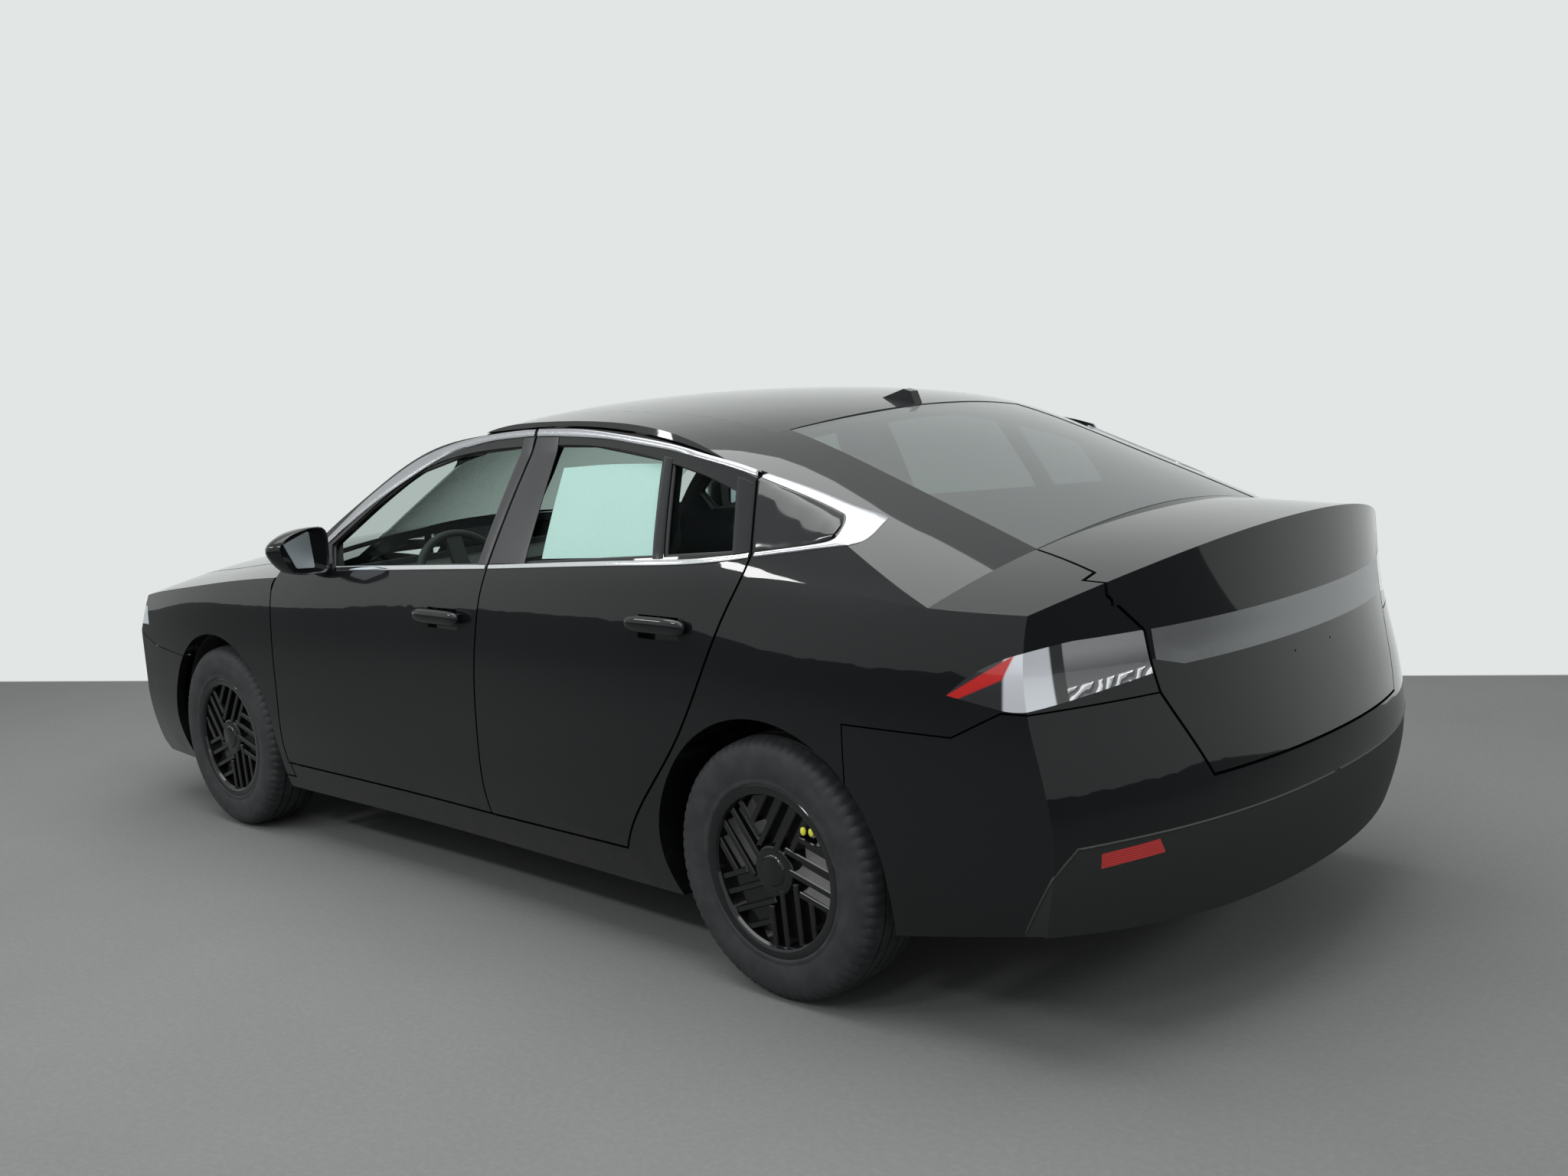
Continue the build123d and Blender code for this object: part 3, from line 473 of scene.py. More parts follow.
def on_metal(x, z, lift, side):
    """A point of the rear pillar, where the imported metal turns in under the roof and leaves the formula.

    It lies where the line of sight to the formula's side meets the metal. The right side mirrors the left.
    """
    aim = Vector((x, side_y(x, z), z)) / 1000
    run = (aim - camera_place).normalized()
    hit, normal = pillar_skin.ray_cast(camera_place, run)[:2]
    if hit is None or (hit - aim).length > 0.3:
        hit, normal = aim, Vector((0, 1, 0))
    out = normal if normal.dot(run) < 0 else -normal
    place = hit + out * lift / 1000
    return Vector((place.x, side * place.y, place.z))


def on_side(x, z, lift, side, body=""):
    """A point on the left (1) or right (-1) side, raised off the surface."""
    if body == "body":
        return on_metal(x, z, lift, side)
    return Vector((x, side * (side_y(x, z) + lift), z)) / 1000


def around(count):
    """Angles spread evenly round a circle."""
    return [2 * pi * k / count for k in range(count)]


def smooth_line(points, count, straight=False):
    """Points spread evenly along a line through the given ones, curved or straight between them."""
    knots = [Vector((*p, 0)) for p in points]
    knots = [2 * knots[0] - knots[1], *knots, 2 * knots[-1] - knots[-2]]
    path = []
    for a, b, c, d in zip(knots, knots[1:], knots[2:], knots[3:]):
        for t in spread(0, 1, 13)[:-1]:
            if straight:
                path.append(b.lerp(c, t))
            else:
                bend = (c - a) * t + (2 * a - 5 * b + 4 * c - d) * t * t + (3 * b - a - 3 * c + d) * t**3
                path.append(b + bend * 0.5)
    path.append(knots[-2])
    reach = [0]
    for a, b in zip(path, path[1:]):
        reach.append(reach[-1] + (b - a).length)
    found = []
    step = 0
    for goal in spread(0, reach[-1], count):
        while step < len(path) - 2 and reach[step + 1] < goal:
            step += 1
        share = (goal - reach[step]) / max(reach[step + 1] - reach[step], 1e-9)
        found.append(path[step].lerp(path[step + 1], share).to_2d())
    return found


print("side at the rear wheel", round(side_y(-1325, 600)), "mm")

# %% [markdown]
# ## Skins from rings
# Every added piece is made as a row of closed rings joined by faces, the way a boat's planks run over its
# frames. A flat moulding, a round seal and a tyre differ only in the ring and the way it travels. Edges that
# turn sharply are marked, so that light breaks there and flows over the rest.


# %% Rings into pieces
def finished(name, mesh, finish, body, sharp=38):
    """Turns a bmesh into a piece of the car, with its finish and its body."""
    bmesh.ops.recalc_face_normals(mesh, faces=mesh.faces)
    for face in mesh.faces:
        face.smooth = True
    for edge in mesh.edges:
        if len(edge.link_faces) == 2 and edge.calc_face_angle() > radians(sharp):
            edge.smooth = False
    data = bpy.data.meshes.new(name)
    mesh.to_mesh(data)
    mesh.free()
    data.materials.append(finish.material)
    piece = bpy.data.objects.new(name, data)
    bpy.context.scene.collection.objects.link(piece)
    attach(piece, body)
    return piece


def skin_rings(mesh, rings, closed=False):
    """Adds a skin over closed rings of equally many points."""
    loops = [[mesh.verts.new(point) for point in ring] for ring in rings]
    for a, b in zip(loops, loops[1:] + (loops[:1] if closed else [])):
        for i in range(len(a)):
            j = (i + 1) % len(a)
            mesh.faces.new((a[i], a[j], b[j], b[i]))
    if not closed:
        mesh.faces.new(loops[0][::-1])
        mesh.faces.new(loops[-1])


def loft(name, rings, finish, body, closed=False, sharp=38):
    """A piece made of one skin over rings."""
    mesh = bmesh.new()
    skin_rings(mesh, rings, closed)
    return finished(name, mesh, finish, body, sharp)


def strip(name, top, low, side, lift, sink, finish, body, columns=60, straight=False):
    """A moulding on the car's side between two lines of the side view, domed where it stands proud."""
    rings = []
    uppers = smooth_line(top, columns, straight)
    lowers = smooth_line(low, columns, straight)
    dome = max(lift, 0) * 0.75
    for upper, lower in zip(uppers, lowers):
        ring = []
        for v in (0, 0.08, 0.25, 0.5, 0.75, 0.92, 1):
            x, z = upper.lerp(lower, v)
            ring.append(on_side(x, z, lift - dome * (2 * v - 1) ** 6, side, body))
        for v in (1, 0.5, 0):
            x, z = upper.lerp(lower, v)
            ring.append(on_side(x, z, -sink, side, body))
        rings.append(ring)
    return loft(name, rings, finish, body)


def tube(name, path, radius, finish, body, closed=False, count=8):
    """A bead that follows a path of points."""
    rings = []
    for i, point in enumerate(path):
        before = path[i - 1] if i or closed else point
        after = path[(i + 1) % len(path)] if i < len(path) - 1 or closed else point
        run = (after - before).normalized()
        aside = run.cross(Vector((0, 1, 0))).normalized()
        out = aside.cross(run)
        rings.append([point + (aside * cos(t) + out * sin(t)) * radius for t in around(count)])
    return loft(name, rings, finish, body, closed=closed)


sides = (("left", 1), ("right", -1))
print("piece makers ready")

# %% [markdown]
# ## Bright mouldings of the side windows
# A satin-silver strip runs over the windows from the mirror to the rear pillar, where it widens to a
# pointed tip, turns forward and goes on as the thin moulding of the waistline. On the real car it is bent
# from sheet and clipped on in one length for each panel. It is cut here at the shut lines for the same
# reason as there: the doors carry their own lengths away when they open.

# %% Window strips
tip_outer = [(-1236, 1273), (-1398, 1234), (-1538, 1196), (-1634, 1174)]
tip_outer += [(-1636, 1160), (-1592, 1119), (-1464, 1100), (-1298, 1079)]
tip_inner = [(-1241, 1258), (-1408, 1212), (-1500, 1184), (-1526, 1172)]
tip_inner += [(-1530, 1150), (-1514, 1124), (-1458, 1111), (-1300, 1091)]
for where, side in sides:
    front_body = f"front_door_{where}_body"
    rear_body = f"rear_door_{where}_body"
    strip(
        f"window_strip_front_{where}",
        [(686, 1054), (503, 1191), (309, 1297), (129, 1346), (-59, 1371), (-213, 1382), (-292, 1384)],
        [(662, 1045), (476, 1163), (271, 1265), (121, 1319), (-65, 1351), (-230, 1362), (-289, 1364)],
        side, 4, 3, satin_silver, front_body, columns=90,
    )
    strip(
        f"window_strip_rear_{where}",
        [(-307, 1385), (-507, 1382), (-715, 1363), (-900, 1340), (-1023, 1318), (-1152, 1293), (-1222, 1276)],
        [(-304, 1364), (-410, 1363), (-613, 1355), (-776, 1338), (-940, 1318), (-1113, 1288), (-1227, 1262)],
        side, 4, 3, satin_silver, rear_body, columns=90,
    )
    strip(
        f"window_strip_tip_{where}",
        tip_outer,
        tip_inner,
        side, 4, 3, satin_silver, "body", columns=110,
    )
    strip(
        f"waist_strip_front_{where}",
        [(576, 977), (228, 994), (-100, 1011), (-232, 1017)],
        [(574, 962), (222, 980), (-100, 997), (-230, 1004)],
        side, 4, 3, bright_chrome, front_body, columns=70,
    )
    strip(
        f"waist_strip_rear_{where}",
        [(-248, 1018), (-751, 1050), (-1041, 1066), (-1200, 1080), (-1281, 1090)],
        [(-246, 1005), (-747, 1036), (-1037, 1052), (-1200, 1067), (-1282, 1078)],
        side, 4, 3, bright_chrome, rear_body, columns=70,
    )
print("bright mouldings on both sides")

# %% [markdown]
# ## Black covers and seals about the windows
# Flat satin panels hide the steel of the pillar between the doors, one on each door, and a gloss panel
# fills the corner behind the rear door. Each pane sits in a rubber seal that stands a little proud of the
# glass, and the small fixed pane at the rear is parted from the one that winds down by an upright bar.

# %% Pillar covers
front_pane = [(600, 968), (640, 1040), (480, 1150), (290, 1258), (50, 1316), (-262, 1338), (-192, 1012)]
rear_pane = [(-347, 1338), (-573, 1337), (-880, 1300), (-950, 1066), (-290, 1019)]
quarter_pane = [(-922, 1292), (-1060, 1264), (-1178, 1228), (-1228, 1086), (-992, 1069)]
for where, side in sides:
    front_body = f"front_door_{where}_body"
    rear_body = f"rear_door_{where}_body"
    strip(
        f"pillar_cover_front_{where}",
        [(-291, 1361), (-259, 1180), (-235, 1018)],
        [(-240, 1361), (-214, 1180), (-190, 1014)],
        side, 2.5, 2, satin_trim, front_body, columns=30,
    )
    strip(
        f"pillar_cover_rear_{where}",
        [(-407, 1361), (-413, 1180), (-414, 1029)],
        [(-304, 1362), (-271, 1180), (-246, 1020)],
        side, 2.5, 2, satin_trim, rear_body, columns=30,
    )
    strip(
        f"pane_divider_{where}",
        [(-884, 1310), (-951, 1064)],
        [(-918, 1303), (-990, 1067)],
        side, 2.5, 2, gloss_trim, rear_body, columns=20, straight=True,
    )
    strip(
        f"door_corner_cover_{where}",
        [(-1168, 1262), (-1200, 1173), (-1228, 1084)],
        [(-1224, 1246), (-1254, 1170), (-1281, 1093)],
        side, 2.5, 2, gloss_trim, rear_body, columns=20,
    )
    strip(
        f"corner_panel_{where}",
        [(-1241, 1252), (-1408, 1209), (-1521, 1174), (-1524, 1156)],
        [(-1299, 1096), (-1400, 1104), (-1460, 1113), (-1510, 1126)],
        side, 5, 2, gloss_trim, "body", columns=30, straight=True,
    )
    panes = ((front_pane, front_body), (rear_pane, rear_body), (quarter_pane, rear_body))
    for number, (pane, body) in enumerate(panes, 1):
        outline = smooth_line(pane + pane[:1], 120, straight=True)[:-1]
        path = [on_side(x, z, -11, side) for x, z in outline]
        tube(f"pane_seal_{number}_{where}", path, 0.0055, seal_rubber, body, closed=True)
print("covers and seals on both sides")

# %% [markdown]
# ## The sheet of paper in the rear window
# A plain sheet of paper is stuck to the inside of the left rear pane. A painted glow, an emission, stands in
# for the light that falls through the pane and through the sheet, so it looks paler than anything else in
# the cabin. It is left blank.

# %% Paper
# The emission is a painted glow: it stands in for the light that falls through the pane and the sheet.
paper_glow_finish = Finish("paper_with_painted_glow", (0.75, 0.88, 0.87), 0.8, Emission_Strength=0.55)
fibres = paper_glow_finish.noise(90, 6, 0.7)
paper_glow_finish.feed("Base Color", paper_glow_finish.mix(fibres, (0.66, 0.82, 0.81), (0.80, 0.93, 0.92)))
paper_glow_finish.feed("Emission Color", paper_glow_finish.mix(fibres, (0.50, 0.68, 0.67), (0.58, 0.76, 0.75)))
strip(
    "window_paper",
    [(-440, 1277), (-640, 1287), (-872, 1290)],
    [(-462, 1040), (-690, 1052), (-928, 1063)],
    1, -21, 22, paper_glow_finish, "rear_door_left_body", columns=30,
)
print("paper placed")

# %% [markdown]
# ## Mirror glass
# The mirror's glass is a flat plate with straight sides, let into the flat rear face of its shell. It is a
# metal in colour, because what shows is the reflection, and a slight haze keeps that reflection pale.

# %% Mirror glass
mirror_finish = Finish("mirror_glass", (0.70, 0.80, 0.86), 0.04, Metallic=1.0)
haze = mirror_finish.noise(7, 4)
mirror_finish.feed("Base Color", mirror_finish.mix(haze, (0.78, 0.86, 0.92), (0.84, 0.92, 0.97)))
mirror_finish.feed("Roughness", 0.30 + haze * 0.08)
for where, side in sides:
    corners = [(1022, 1066), (931, 1099), (921, 980), (985, 986)]
    middle = sum((Vector(corner) for corner in corners), Vector((0, 0))) / 4
    rings = []
    for x, size in ((599, 1.0), (596, 1.0), (595, 0.985)):
        ring = smooth_line(corners + corners[:1], 41, straight=True)[:-1]
        drawn = [middle + (p - middle) * size for p in ring]
        rings.append([Vector((x, side * y, z)) / 1000 for y, z in drawn])
    loft(f"mirror_glass_{where}", rings, mirror_finish, f"front_door_{where}_body")
print("mirror glass on both sides")

# %% [markdown]
# ## Mirror shells
# A mirror's shell is a moulded bowl, blunt at the rear and drawn in towards the front. A few outlines across
# it, taken at different places along the car, are joined by a skin, and the rear edge is turned in as a lip
# round the glass. A short foot joins it to the door. It stands for the plainer CAD mirror.

# %% Mirror shells
rear_edge = [(868, 1088), (917, 1109), (1000, 1092), (1040, 1050), (1000, 974), (920, 961), (872, 974)]
widest = [(870, 1088), (925, 1108), (1012, 1092), (1062, 1048), (1010, 976), (925, 966), (874, 978)]
nose = [(884, 1066), (925, 1082), (985, 1074), (1022, 1042), (985, 992), (925, 986), (888, 996)]


def mirror_ring(x, outline, size, side):
    """A closed curve through an outline, drawn in towards its middle."""
    points = smooth_line(outline[-1:] + outline + outline[:1], 49)[6:-6]
    middle = sum(points, Vector((0, 0))) / len(points)
    drawn = [middle + (p - middle) * size for p in points]
    return [Vector((x, side * y, z)) / 1000 for y, z in drawn]


for where, side in sides:
    shell = bmesh.new()
    between = [tuple((a + b) / 2 + 1 for a, b in zip(p, q)) for p, q in zip(widest, nose)]
    steps = [(602, rear_edge, 0.90), (594, rear_edge, 0.93), (592, rear_edge, 0.97), (597, rear_edge, 1.0)]
    steps += [(620, widest, 0.995), (642, widest, 0.985), (668, between, 1.0)]
    steps += [(686, nose, 1.0), (696, nose, 0.8), (700, nose, 0.4)]
    skin_rings(shell, [mirror_ring(x, outline, size, side) for x, outline, size in steps])
    rings = []
    for y, z, size in ((862, 962, 1.0), (885, 969, 0.92), (905, 980, 0.9)):
        ovals = [(640 + 40 * size * cos(t), side * y, z + 26 * size * sin(t)) for t in around(24)]
        rings.append([Vector(point) / 1000 for point in ovals])
    skin_rings(shell, rings)
    body = f"front_door_{where}_body"
    piece = finished(f"mirror_shell_{where}", shell, body_paint, body, sharp=60)
    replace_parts(piece, f"mirror_{where}")
print("mirror shells on both sides")

# %% [markdown]
# ## Door grips
# The door pulls are smooth grips, thickest in the middle, so that a hand closes round them. Each is a row of
# rounded rings whose size swells and fades along the grip, and it covers the plain bar of the CAD model.

# %% Door grips
for where, side in sides:
    for place, x0, x1, z in (("front", -144, 84, 862), ("rear", -1104, -881, 905)):
        rings = []
        for share in spread(0, 1, 41):
            x = x0 + (x1 - x0) * share
            full = (1 - abs(2 * share - 1) ** 5) ** 0.5
            high, deep = 4 + 17 * full, 3 + 9 * full
            centre = Vector((x, 908, z))
            ring = []
            for t in around(16):
                up = abs(sin(t)) ** 0.8 * (1 if sin(t) > 0 else -1) * high
                out = abs(cos(t)) ** 0.8 * (1 if cos(t) > 0 else -1) * deep
                ring.append(Vector((centre.x, side * (centre.y + out), centre.z + up)) / 1000)
            rings.append(ring)
        body = f"{place}_door_{where}_body"
        loft(f"door_grip_{place}_{where}", rings, body_paint, body, sharp=80)
print("grips on both sides")

# %% [markdown]
# ## Wheels and tyres
# Each wheel has a cover like woven strips: five groups of four parallel blades run from the hub to the rim.
# A blade is the same short box each time, moved aside and turned, so loops make all twenty. The tyre is one
# cross-section carried round the axle, with its grooves in the section and a row of cuts on each shoulder.

# %% Wheels
axle_height, track = 326, 795
hubs = {"front": 1388, "rear": -1325}
wheel_blades = ((-20, 88), (20, 46), (68, 24), (114, 62))
blade_reach = 194
rim_section = [(97, 213), (95, 215.5), (82, 215.5), (60, 203), (-60, 203), (-82, 215.5), (-97, 214)]
rim_section += [(-97, 206), (-80, 190), (-60, 187), (60, 187), (86, 187), (93, 191), (96.5, 199)]
disc_section = [(64, 0.5), (64, 189), (58, 189), (58, 0.5)]
hub_section = [(92, 0.5), (91, 24), (89, 35), (86, 38), (85, 40), (85, 56)]
hub_section += [(83, 61), (79, 63), (60, 63), (60, 0.5)]


def turned(section, steps, hub, side, drop=None):
    """Rings of a section carried round an axle at a hub; drop may lower a point at a step."""
    rings = []
    for step in range(steps):
        t = 2 * pi * step / steps
        ring = []
        for y, r in section:
            r -= drop(step, y, r) if drop else 0
            ring.append(Vector((hub + r * cos(t), side * (track + y), axle_height + r * sin(t))) / 1000)
        rings.append(ring)
    return rings


def blade(aside, start, turn, hub, side):
    """Rings of one blade of the cover, a bar with broken edges that runs outward."""
    end = sqrt(blade_reach**2 - aside**2)
    outline = [(-8, 62), (-8, 83), (-6, 86), (6, 86), (8, 83), (8, 62)]
    rings = []
    for along, low in ((start, 2.5), (start + 3, 0), ((start + end) / 2, 0.8), (end, 2)):
        ring = []
        for across, y in outline:
            u, v = along, -aside - across
            x = u * cos(turn) - v * sin(turn)
            z = u * sin(turn) + v * cos(turn)
            ring.append(Vector((hub + x, side * (track + y - low), axle_height + z)) / 1000)
        rings.append(ring)
    return rings


for where, side in sides:
    for place, hub in hubs.items():
        cover = bmesh.new()
        skin_rings(cover, turned(rim_section, 96, hub, side), closed=True)
        skin_rings(cover, turned(disc_section, 96, hub, side), closed=True)
        skin_rings(cover, turned(hub_section, 64, hub, side), closed=True)
        for group in range(5):
            for aside, start in wheel_blades:
                skin_rings(cover, blade(aside, start, radians(90 + 33 + 72 * group), hub, side))
        body = f"road_wheel_{place}_{where}"
        piece = finished(f"wheel_cover_{place}_{where}", cover, gloss_trim, body, sharp=25)
        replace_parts(piece, f"wheel_{place}_{where}")
print("four wheels")

# %% Tyres
half_tread = [(0, 326), (13, 326), (14, 319), (21, 319), (22, 325.8), (45, 325), (46, 318)]
half_tread += [(53, 318), (54, 324.5), (76, 321), (86, 316), (94, 307), (98.5, 296)]
half_tread += [(100.5, 285), (102, 270), (102.5, 258), (101.5, 245), (99, 232), (97.5, 226)]
half_tread += [(99, 222), (97, 216), (93, 210), (89.7, 204.3)]
tyre_section = [(-y, r) for y, r in reversed(half_tread[1:])] + half_tread


def shoulder_cut(step, y, r):
    """The depth of the cuts on the shoulders, one in every four steps."""
    return 4.5 if step % 4 == 0 and 70 < abs(y) < 95 and r > 300 else 0


for where, side in sides:
    for place, hub in hubs.items():
        rings = turned(tyre_section, 288, hub, side, shoulder_cut)
        name, body = f"grooved_tyre_{place}_{where}", f"road_wheel_{place}_{where}"
        piece = loft(name, rings, tyre_rubber, body, closed=True, sharp=42)
        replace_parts(piece, f"tyre_{place}_{where}")
print("four tyres")

# %% [markdown]
# ## The edge of the bare plastic
# Where the painted bumper meets the bare valance below it, the moulding has a raised edge. It runs across the
# back at one height and slants down and forward on each side. Its course is found by asking the packed
# bumper where lines from behind and from the side meet it, so that it lies on the skin all the way.

# %% Bumper edge
bumper_skin = skin("rear_bumper")


def met(start, run, lift):
    """Where a line meets the bumper, raised off it a little; start is in millimetres."""
    hit = bumper_skin.ray_cast(Vector(start) / 1000, Vector(run))[0]
    return None if hit is None else hit - Vector(run) * lift


edge_path = []
for x, z in zip(spread(-2012, -2146, 10), spread(264, 503, 10)):
    edge_path.append(met((x, 1300, z), (0, -1, 0), -0.0015))
for y in spread(800, -800, 60):
    edge_path.append(met((-2600, y, 503), (1, 0, 0), -0.0015))
for x, z in zip(spread(-2146, -2012, 10), spread(503, 264, 10)):
    edge_path.append(met((x, -1300, z), (0, 1, 0), -0.0015))
edge_path = [point for point in edge_path if point is not None]
tube("bumper_edge", edge_path, 0.0035, valance_plastic, "body")
print("bumper edge of", len(edge_path), "points")

# %% [markdown]
# ## Tags at the valve
# Two small round tags of yellow plastic hang at the valve of the left rear wheel. They are discs with rounded
# rims, and they turn with the wheel.

# %% Valve tags
tag_paint = moulded("yellow_tag", (0.62, 0.60, 0.06), 0.4, 200, 0.00002)
for number, (x, z) in enumerate(((-111, 118), (-137, 119))):
    rings = []
    for y, size in ((84, 0.6), (86, 1), (90, 1), (92, 0.7)):
        centre = Vector((hubs["rear"] + x, track + y, axle_height + z))
        rings.append([(centre + Vector((8 * cos(t), 0, 10 * sin(t))) * size) / 1000 for t in around(16)])
    loft(f"valve_tag_{number + 1}", rings, tag_paint, "road_wheel_rear_left")
print("tags at the valve")

# %% [markdown]
# ## Padded seats
# A seat cushion is foam under sewn cloth: full and crowned, with its sides pulled in and a seam where the
# panels meet. A drawn block would look like wood. So each cushion starts as a rough block a little too small,
# its skin is made even by a voxel remesh, and cloth simulation blows it up like a balloon for a moment. How
# far a point may move is capped, and the seams are pressed in afterwards, since the remesh would lose them.

# %% Cushions
seam_depth = 0.007
seam_reach = 0.012
room_to_swell = 16
rounded_ends = ((-1, 0.80), (-0.96, 0.90), (-0.8, 0.96), (0, 1), (0.8, 0.96), (0.96, 0.90), (1, 0.80))
start_size = 0.94


def swollen(piece, cap):
    """Blows a remeshed block up with cloth pressure and gives back its points."""
    cloth = piece.modifiers.new("swell", "CLOTH")
    cloth.settings.use_pressure = True
    cloth.settings.uniform_pressure_force = 4
    cloth.settings.effector_weights.gravity = 0
    cloth.collision_settings.use_collision = False
    cloth.point_cache.frame_start = 1
    cloth.point_cache.frame_end = 20
    for frame_number in range(1, 21):
        bpy.context.scene.frame_set(frame_number)
    ready = piece.evaluated_get(bpy.context.evaluated_depsgraph_get())
    moved = [v.co.copy() for v in ready.data.vertices]
    piece.modifiers.remove(cloth)
    bpy.context.scene.frame_set(1)
    for vertex, place in zip(piece.data.vertices, moved):
        way = place - vertex.co
        vertex.co += way * min(1, cap / max(way.length, 1e-9))


def cushion(name, blocks, middle, seams, replaced, voxel=0.015, cap=0.016):
    """A padded piece from blocks: a side outline in x and z with its half width, about y = middle."""
    rough = bmesh.new()
    for outline, half_width in blocks:
        centre = sum((Vector(p) for p in outline), Vector((0, 0))) / len(outline)
        rings = []
        for share, size in rounded_ends:
            drawn = [centre + (Vector(p) - centre) * size * start_size for p in outline]
            y = middle + share * (half_width - room_to_swell)
            rings.append([Vector((x, y, z)) / 1000 for x, z in drawn])
        skin_rings(rough, rings)
    piece = finished(name, rough, seat_cloth, "body", sharp=180)
    remesh = piece.modifiers.new("even", "REMESH")
    remesh.mode = "VOXEL"
    remesh.voxel_size = voxel
    even = bpy.data.meshes.new_from_object(piece.evaluated_get(bpy.context.evaluated_depsgraph_get()))
    piece.modifiers.clear()
    piece.data = even
    swollen(piece, cap)
    smooth = piece.modifiers.new("fine", "SUBSURF")
    smooth.levels = smooth.render_levels = 1
    fine = bpy.data.meshes.new_from_object(piece.evaluated_get(bpy.context.evaluated_depsgraph_get()))
    piece.modifiers.clear()
    piece.data = fine
    centre = sum((v.co for v in fine.vertices), Vector()) / len(fine.vertices)
    for vertex in fine.vertices:
        for seam in seams:
            gap = abs(abs(vertex.co.y - middle / 1000) - seam)
            if gap < seam_reach:
                inward = (centre - vertex.co).normalized()
                inward.y = 0
                vertex.co += inward * seam_depth * (1 - gap / seam_reach)
    for face in fine.polygons:
        face.use_smooth = True
    if not fine.materials:
        fine.materials.append(seat_cloth.material)
    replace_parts(piece, replaced)
    return piece


seat_pan = [(-185, 345), (-165, 425), (-40, 458), (430, 514), (474, 478), (455, 360)]
seat_back = [(-110, 440), (-262, 890), (-290, 985), (-385, 975), (-372, 870), (-205, 380)]
head_rest = [(-292, 985), (-325, 1130), (-425, 1122), (-402, 975)]
for where, side in sides:
    middle = side * 370
    cushion(f"front_seat_cushion_{where}", [(seat_pan, 250)], middle, (0.155,), "front_seats")
    cushion(f"front_seat_back_{where}", [(seat_back, 240)], middle, (0.150,), "front_seats")
    cushion(f"front_head_rest_{where}", [(head_rest, 135)], middle, (), "front_seats", voxel=0.012, cap=0.010)
bench = [(-1000, 410), (-1008, 515), (-570, 556), (-536, 520), (-562, 410)]
bench_back = [(-1250, 410), (-1250, 950), (-1188, 952), (-1018, 525), (-1010, 420)]
bench_back_wing = [(-1250, 745), (-1250, 950), (-1188, 952), (-1105, 745)]
cushion("rear_seat_cushion", [(bench, 478)], 0, (0.0, 0.24), "rear_seat", voxel=0.018)
bench_back_blocks = [(bench_back, 476), (bench_back_wing, 596)]
cushion("rear_seat_back", bench_back_blocks, 0, (0.12, 0.40), "rear_seat", voxel=0.018)
print("padded seats placed")

# %% [markdown]
# ## Seat bases
# Under each seat a plastic base closes the space to the floor. It is a block whose outline is drawn in at
# some heights, which gives it a foot and a shoulder, and the same maker serves for the engine's castings.

# %% Blocks with drawn-in steps
def stepped(mesh, x0, x1, y0, y1, levels):
    """Adds a block to a mesh; at each height its outline is drawn in by an inset."""
    rings = []
    for z, inset in levels:
        xa, xb, ya, yb = x0 + inset, x1 - inset, y0 + inset, y1 - inset
        corners = [(xa, ya), (xb, ya), (xb, yb), (xa, yb)]
        outline = smooth_line(corners + corners[:1], 41, straight=True)[:-1]
        rings.append([Vector((x, y, z)) / 1000 for x, y in outline])
    skin_rings(mesh, rings)


for name, x0, x1, y0, y1, z1, node in (
    ("front_seat_base_left", -70, 350, 160, 580, 372, "front_seats"),
    ("front_seat_base_right", -70, 350, -580, -160, 372, "front_seats"),
    ("rear_seat_base", -878, -545, -498, 498, 425, "rear_seat"),
):
    base = bmesh.new()
    stepped(base, x0, x1, y0, y1, [(245, 0), (257, 0), (265, 14), (z1 - 10, 20), (z1, 24)])
    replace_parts(finished(name, base, cabin_plastic, "body"), node)
print("seat bases placed")

# %% [markdown]
# ## The engine
# It shows only with the bonnet up. Its castings are stepped: a block, a flange, and a ribbed cover on top
# with four pipes that run forward from it. All are one casting's colour, so they are made as one piece.

# %% Engine
engine = bmesh.new()
stepped(engine, 1330, 1790, -340, 300, [(282, 40), (302, 14), (540, 0), (636, 0), (646, 14)])
stepped(engine, 1318, 1802, -356, 316, [(644, 0), (662, 0), (668, 8)])
stepped(engine, 1400, 1716, -304, 264, [(666, 0), (752, 6), (774, 18), (782, 40)])
for rib in range(7):
    y = -262 + 76 * rib
    stepped(engine, 1438, 1680, y, y + 34, [(774, 0), (788, 3), (794, 9)])
for pipe in range(4):
    y = -214 + 130 * pipe
    rings = []
    for x, z in smooth_line([(1690, 736), (1750, 744), (1800, 712), (1812, 640)], 12):
        lean = 0 if x < 1770 else 0.9
        centre = Vector((x, y, z))
        reach = Vector((sin(lean), 0, cos(lean)))
        across = Vector((0, 1, 0))
        rings.append([(centre + 26 * (reach * sin(t) + across * cos(t))) / 1000 for t in around(16)])
    skin_rings(engine, rings)
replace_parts(finished("engine_castings", engine, cast_metal, "body"), "engine")
print("engine placed")

# %% [markdown]
# ## Floor, backdrop and light
# The floor is plain pale concrete. The walls are white and far off, so the world's own colour serves for
# them, and beyond a line behind the car the floor glows in that colour, as if a wall stood there. Lamps hang
# overhead like the rows in a showroom: one large soft one for the general level, and narrow ones whose long
# reflections draw the shoulder line along the doors.

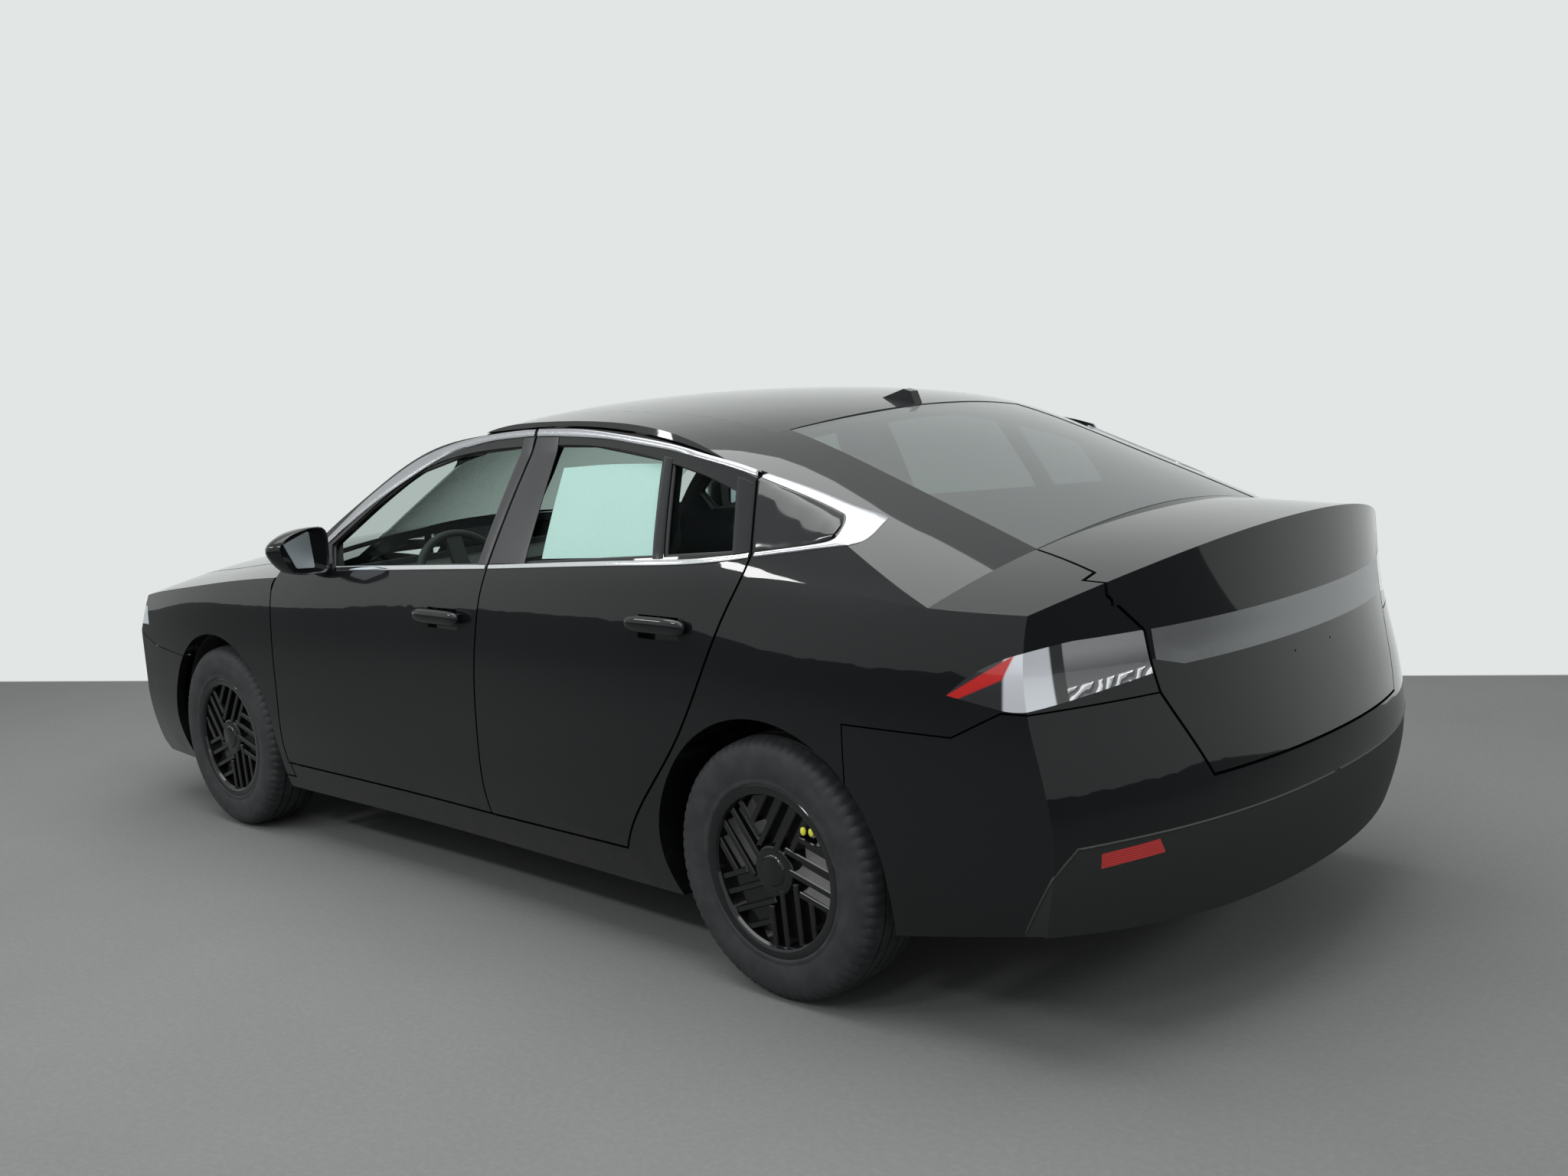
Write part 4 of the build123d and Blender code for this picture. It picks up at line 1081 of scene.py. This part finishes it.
# %% Floor
wall_colour = (0.760, 0.790, 0.782)
wall_side = (0.457, -0.889)
wall_distance = 2.31
bpy.ops.mesh.primitive_plane_add(size=80, location=(0, 0, 0))
floor = bpy.context.object
floor.name = "floor"
matt = {"Specular_IOR_Level": 0.0, "Emission_Strength": 1.0}
floor_finish = Finish("concrete_floor", (0.20, 0.205, 0.20), 0.55, **matt)
patches = floor_finish.noise(0.9, 7, 0.6)
specks = floor_finish.noise(60, 3, 0.7).soft(0.35, 0.75)
floor_tone = patches * 0.7 + specks * 0.3
across_floor = floor_finish.axis("X") * wall_side[0] + floor_finish.axis("Y") * wall_side[1]
beyond = across_floor.soft(wall_distance, wall_distance + 0.03)
concrete = floor_finish.mix(floor_tone, (0.150, 0.154, 0.151), (0.205, 0.21, 0.207))
floor_finish.feed("Base Color", floor_finish.mix(beyond, concrete, (0, 0, 0)))
floor_finish.feed("Emission Color", floor_finish.mix(beyond, (0, 0, 0), wall_colour))
floor_finish.feed("Roughness", 0.42 + patches * 0.2)
floor.data.materials.append(floor_finish.material)

# %% World
world = bpy.data.worlds.new("studio")
bpy.context.scene.world = world
world.use_nodes = True
studio = world.node_tree
background = studio.nodes["Background"]
background.inputs["Color"].default_value = (*wall_colour, 1)
path = studio.nodes.new("ShaderNodeLightPath")
seen = studio.nodes.new("ShaderNodeMath")
seen.operation = "MAXIMUM"
studio.links.new(path.outputs["Is Camera Ray"], seen.inputs[0])
studio.links.new(path.outputs["Is Glossy Ray"], seen.inputs[1])
shown = studio.nodes.new("ShaderNodeMath")
shown.operation = "MAXIMUM"
studio.links.new(seen.outputs[0], shown.inputs[0])
studio.links.new(path.outputs["Is Transmission Ray"], shown.inputs[1])
strength = studio.nodes.new("ShaderNodeMapRange")
strength.inputs["To Min"].default_value = 0.75
strength.inputs["To Max"].default_value = 1.0
studio.links.new(shown.outputs[0], strength.inputs["Value"])
studio.links.new(strength.outputs[0], background.inputs["Strength"])


# %% Lamps
def lamp(name, place, aim, size, power):
    """A rectangular soft lamp that looks at a point."""
    data = bpy.data.lights.new(name, "AREA")
    data.shape = "RECTANGLE"
    data.size, data.size_y = size
    data.energy = power
    made = bpy.data.objects.new(name, data)
    bpy.context.scene.collection.objects.link(made)
    made.location = place
    made.rotation_euler = (Vector(aim) - Vector(place)).to_track_quat("-Z", "Y").to_euler()
    return made


lamp("overhead_lamp", (0, 0.5, 5.2), (0, 0, 0), (7, 5), 330)
for place in range(5):
    x = -3.4 + place * 1.9
    lamp(f"shoulder_lamp_{place + 1}", (x, 4.4, 3.5), (x, 0.6, 0.9), (0.9, 0.3), 22)
lamp("rear_lamp", (-6.5, -1.5, 3.2), (-2, 0, 0.7), (3.0, 1.0), 60)
bpy.context.scene.view_settings.view_transform = "Standard"
print("stage set")
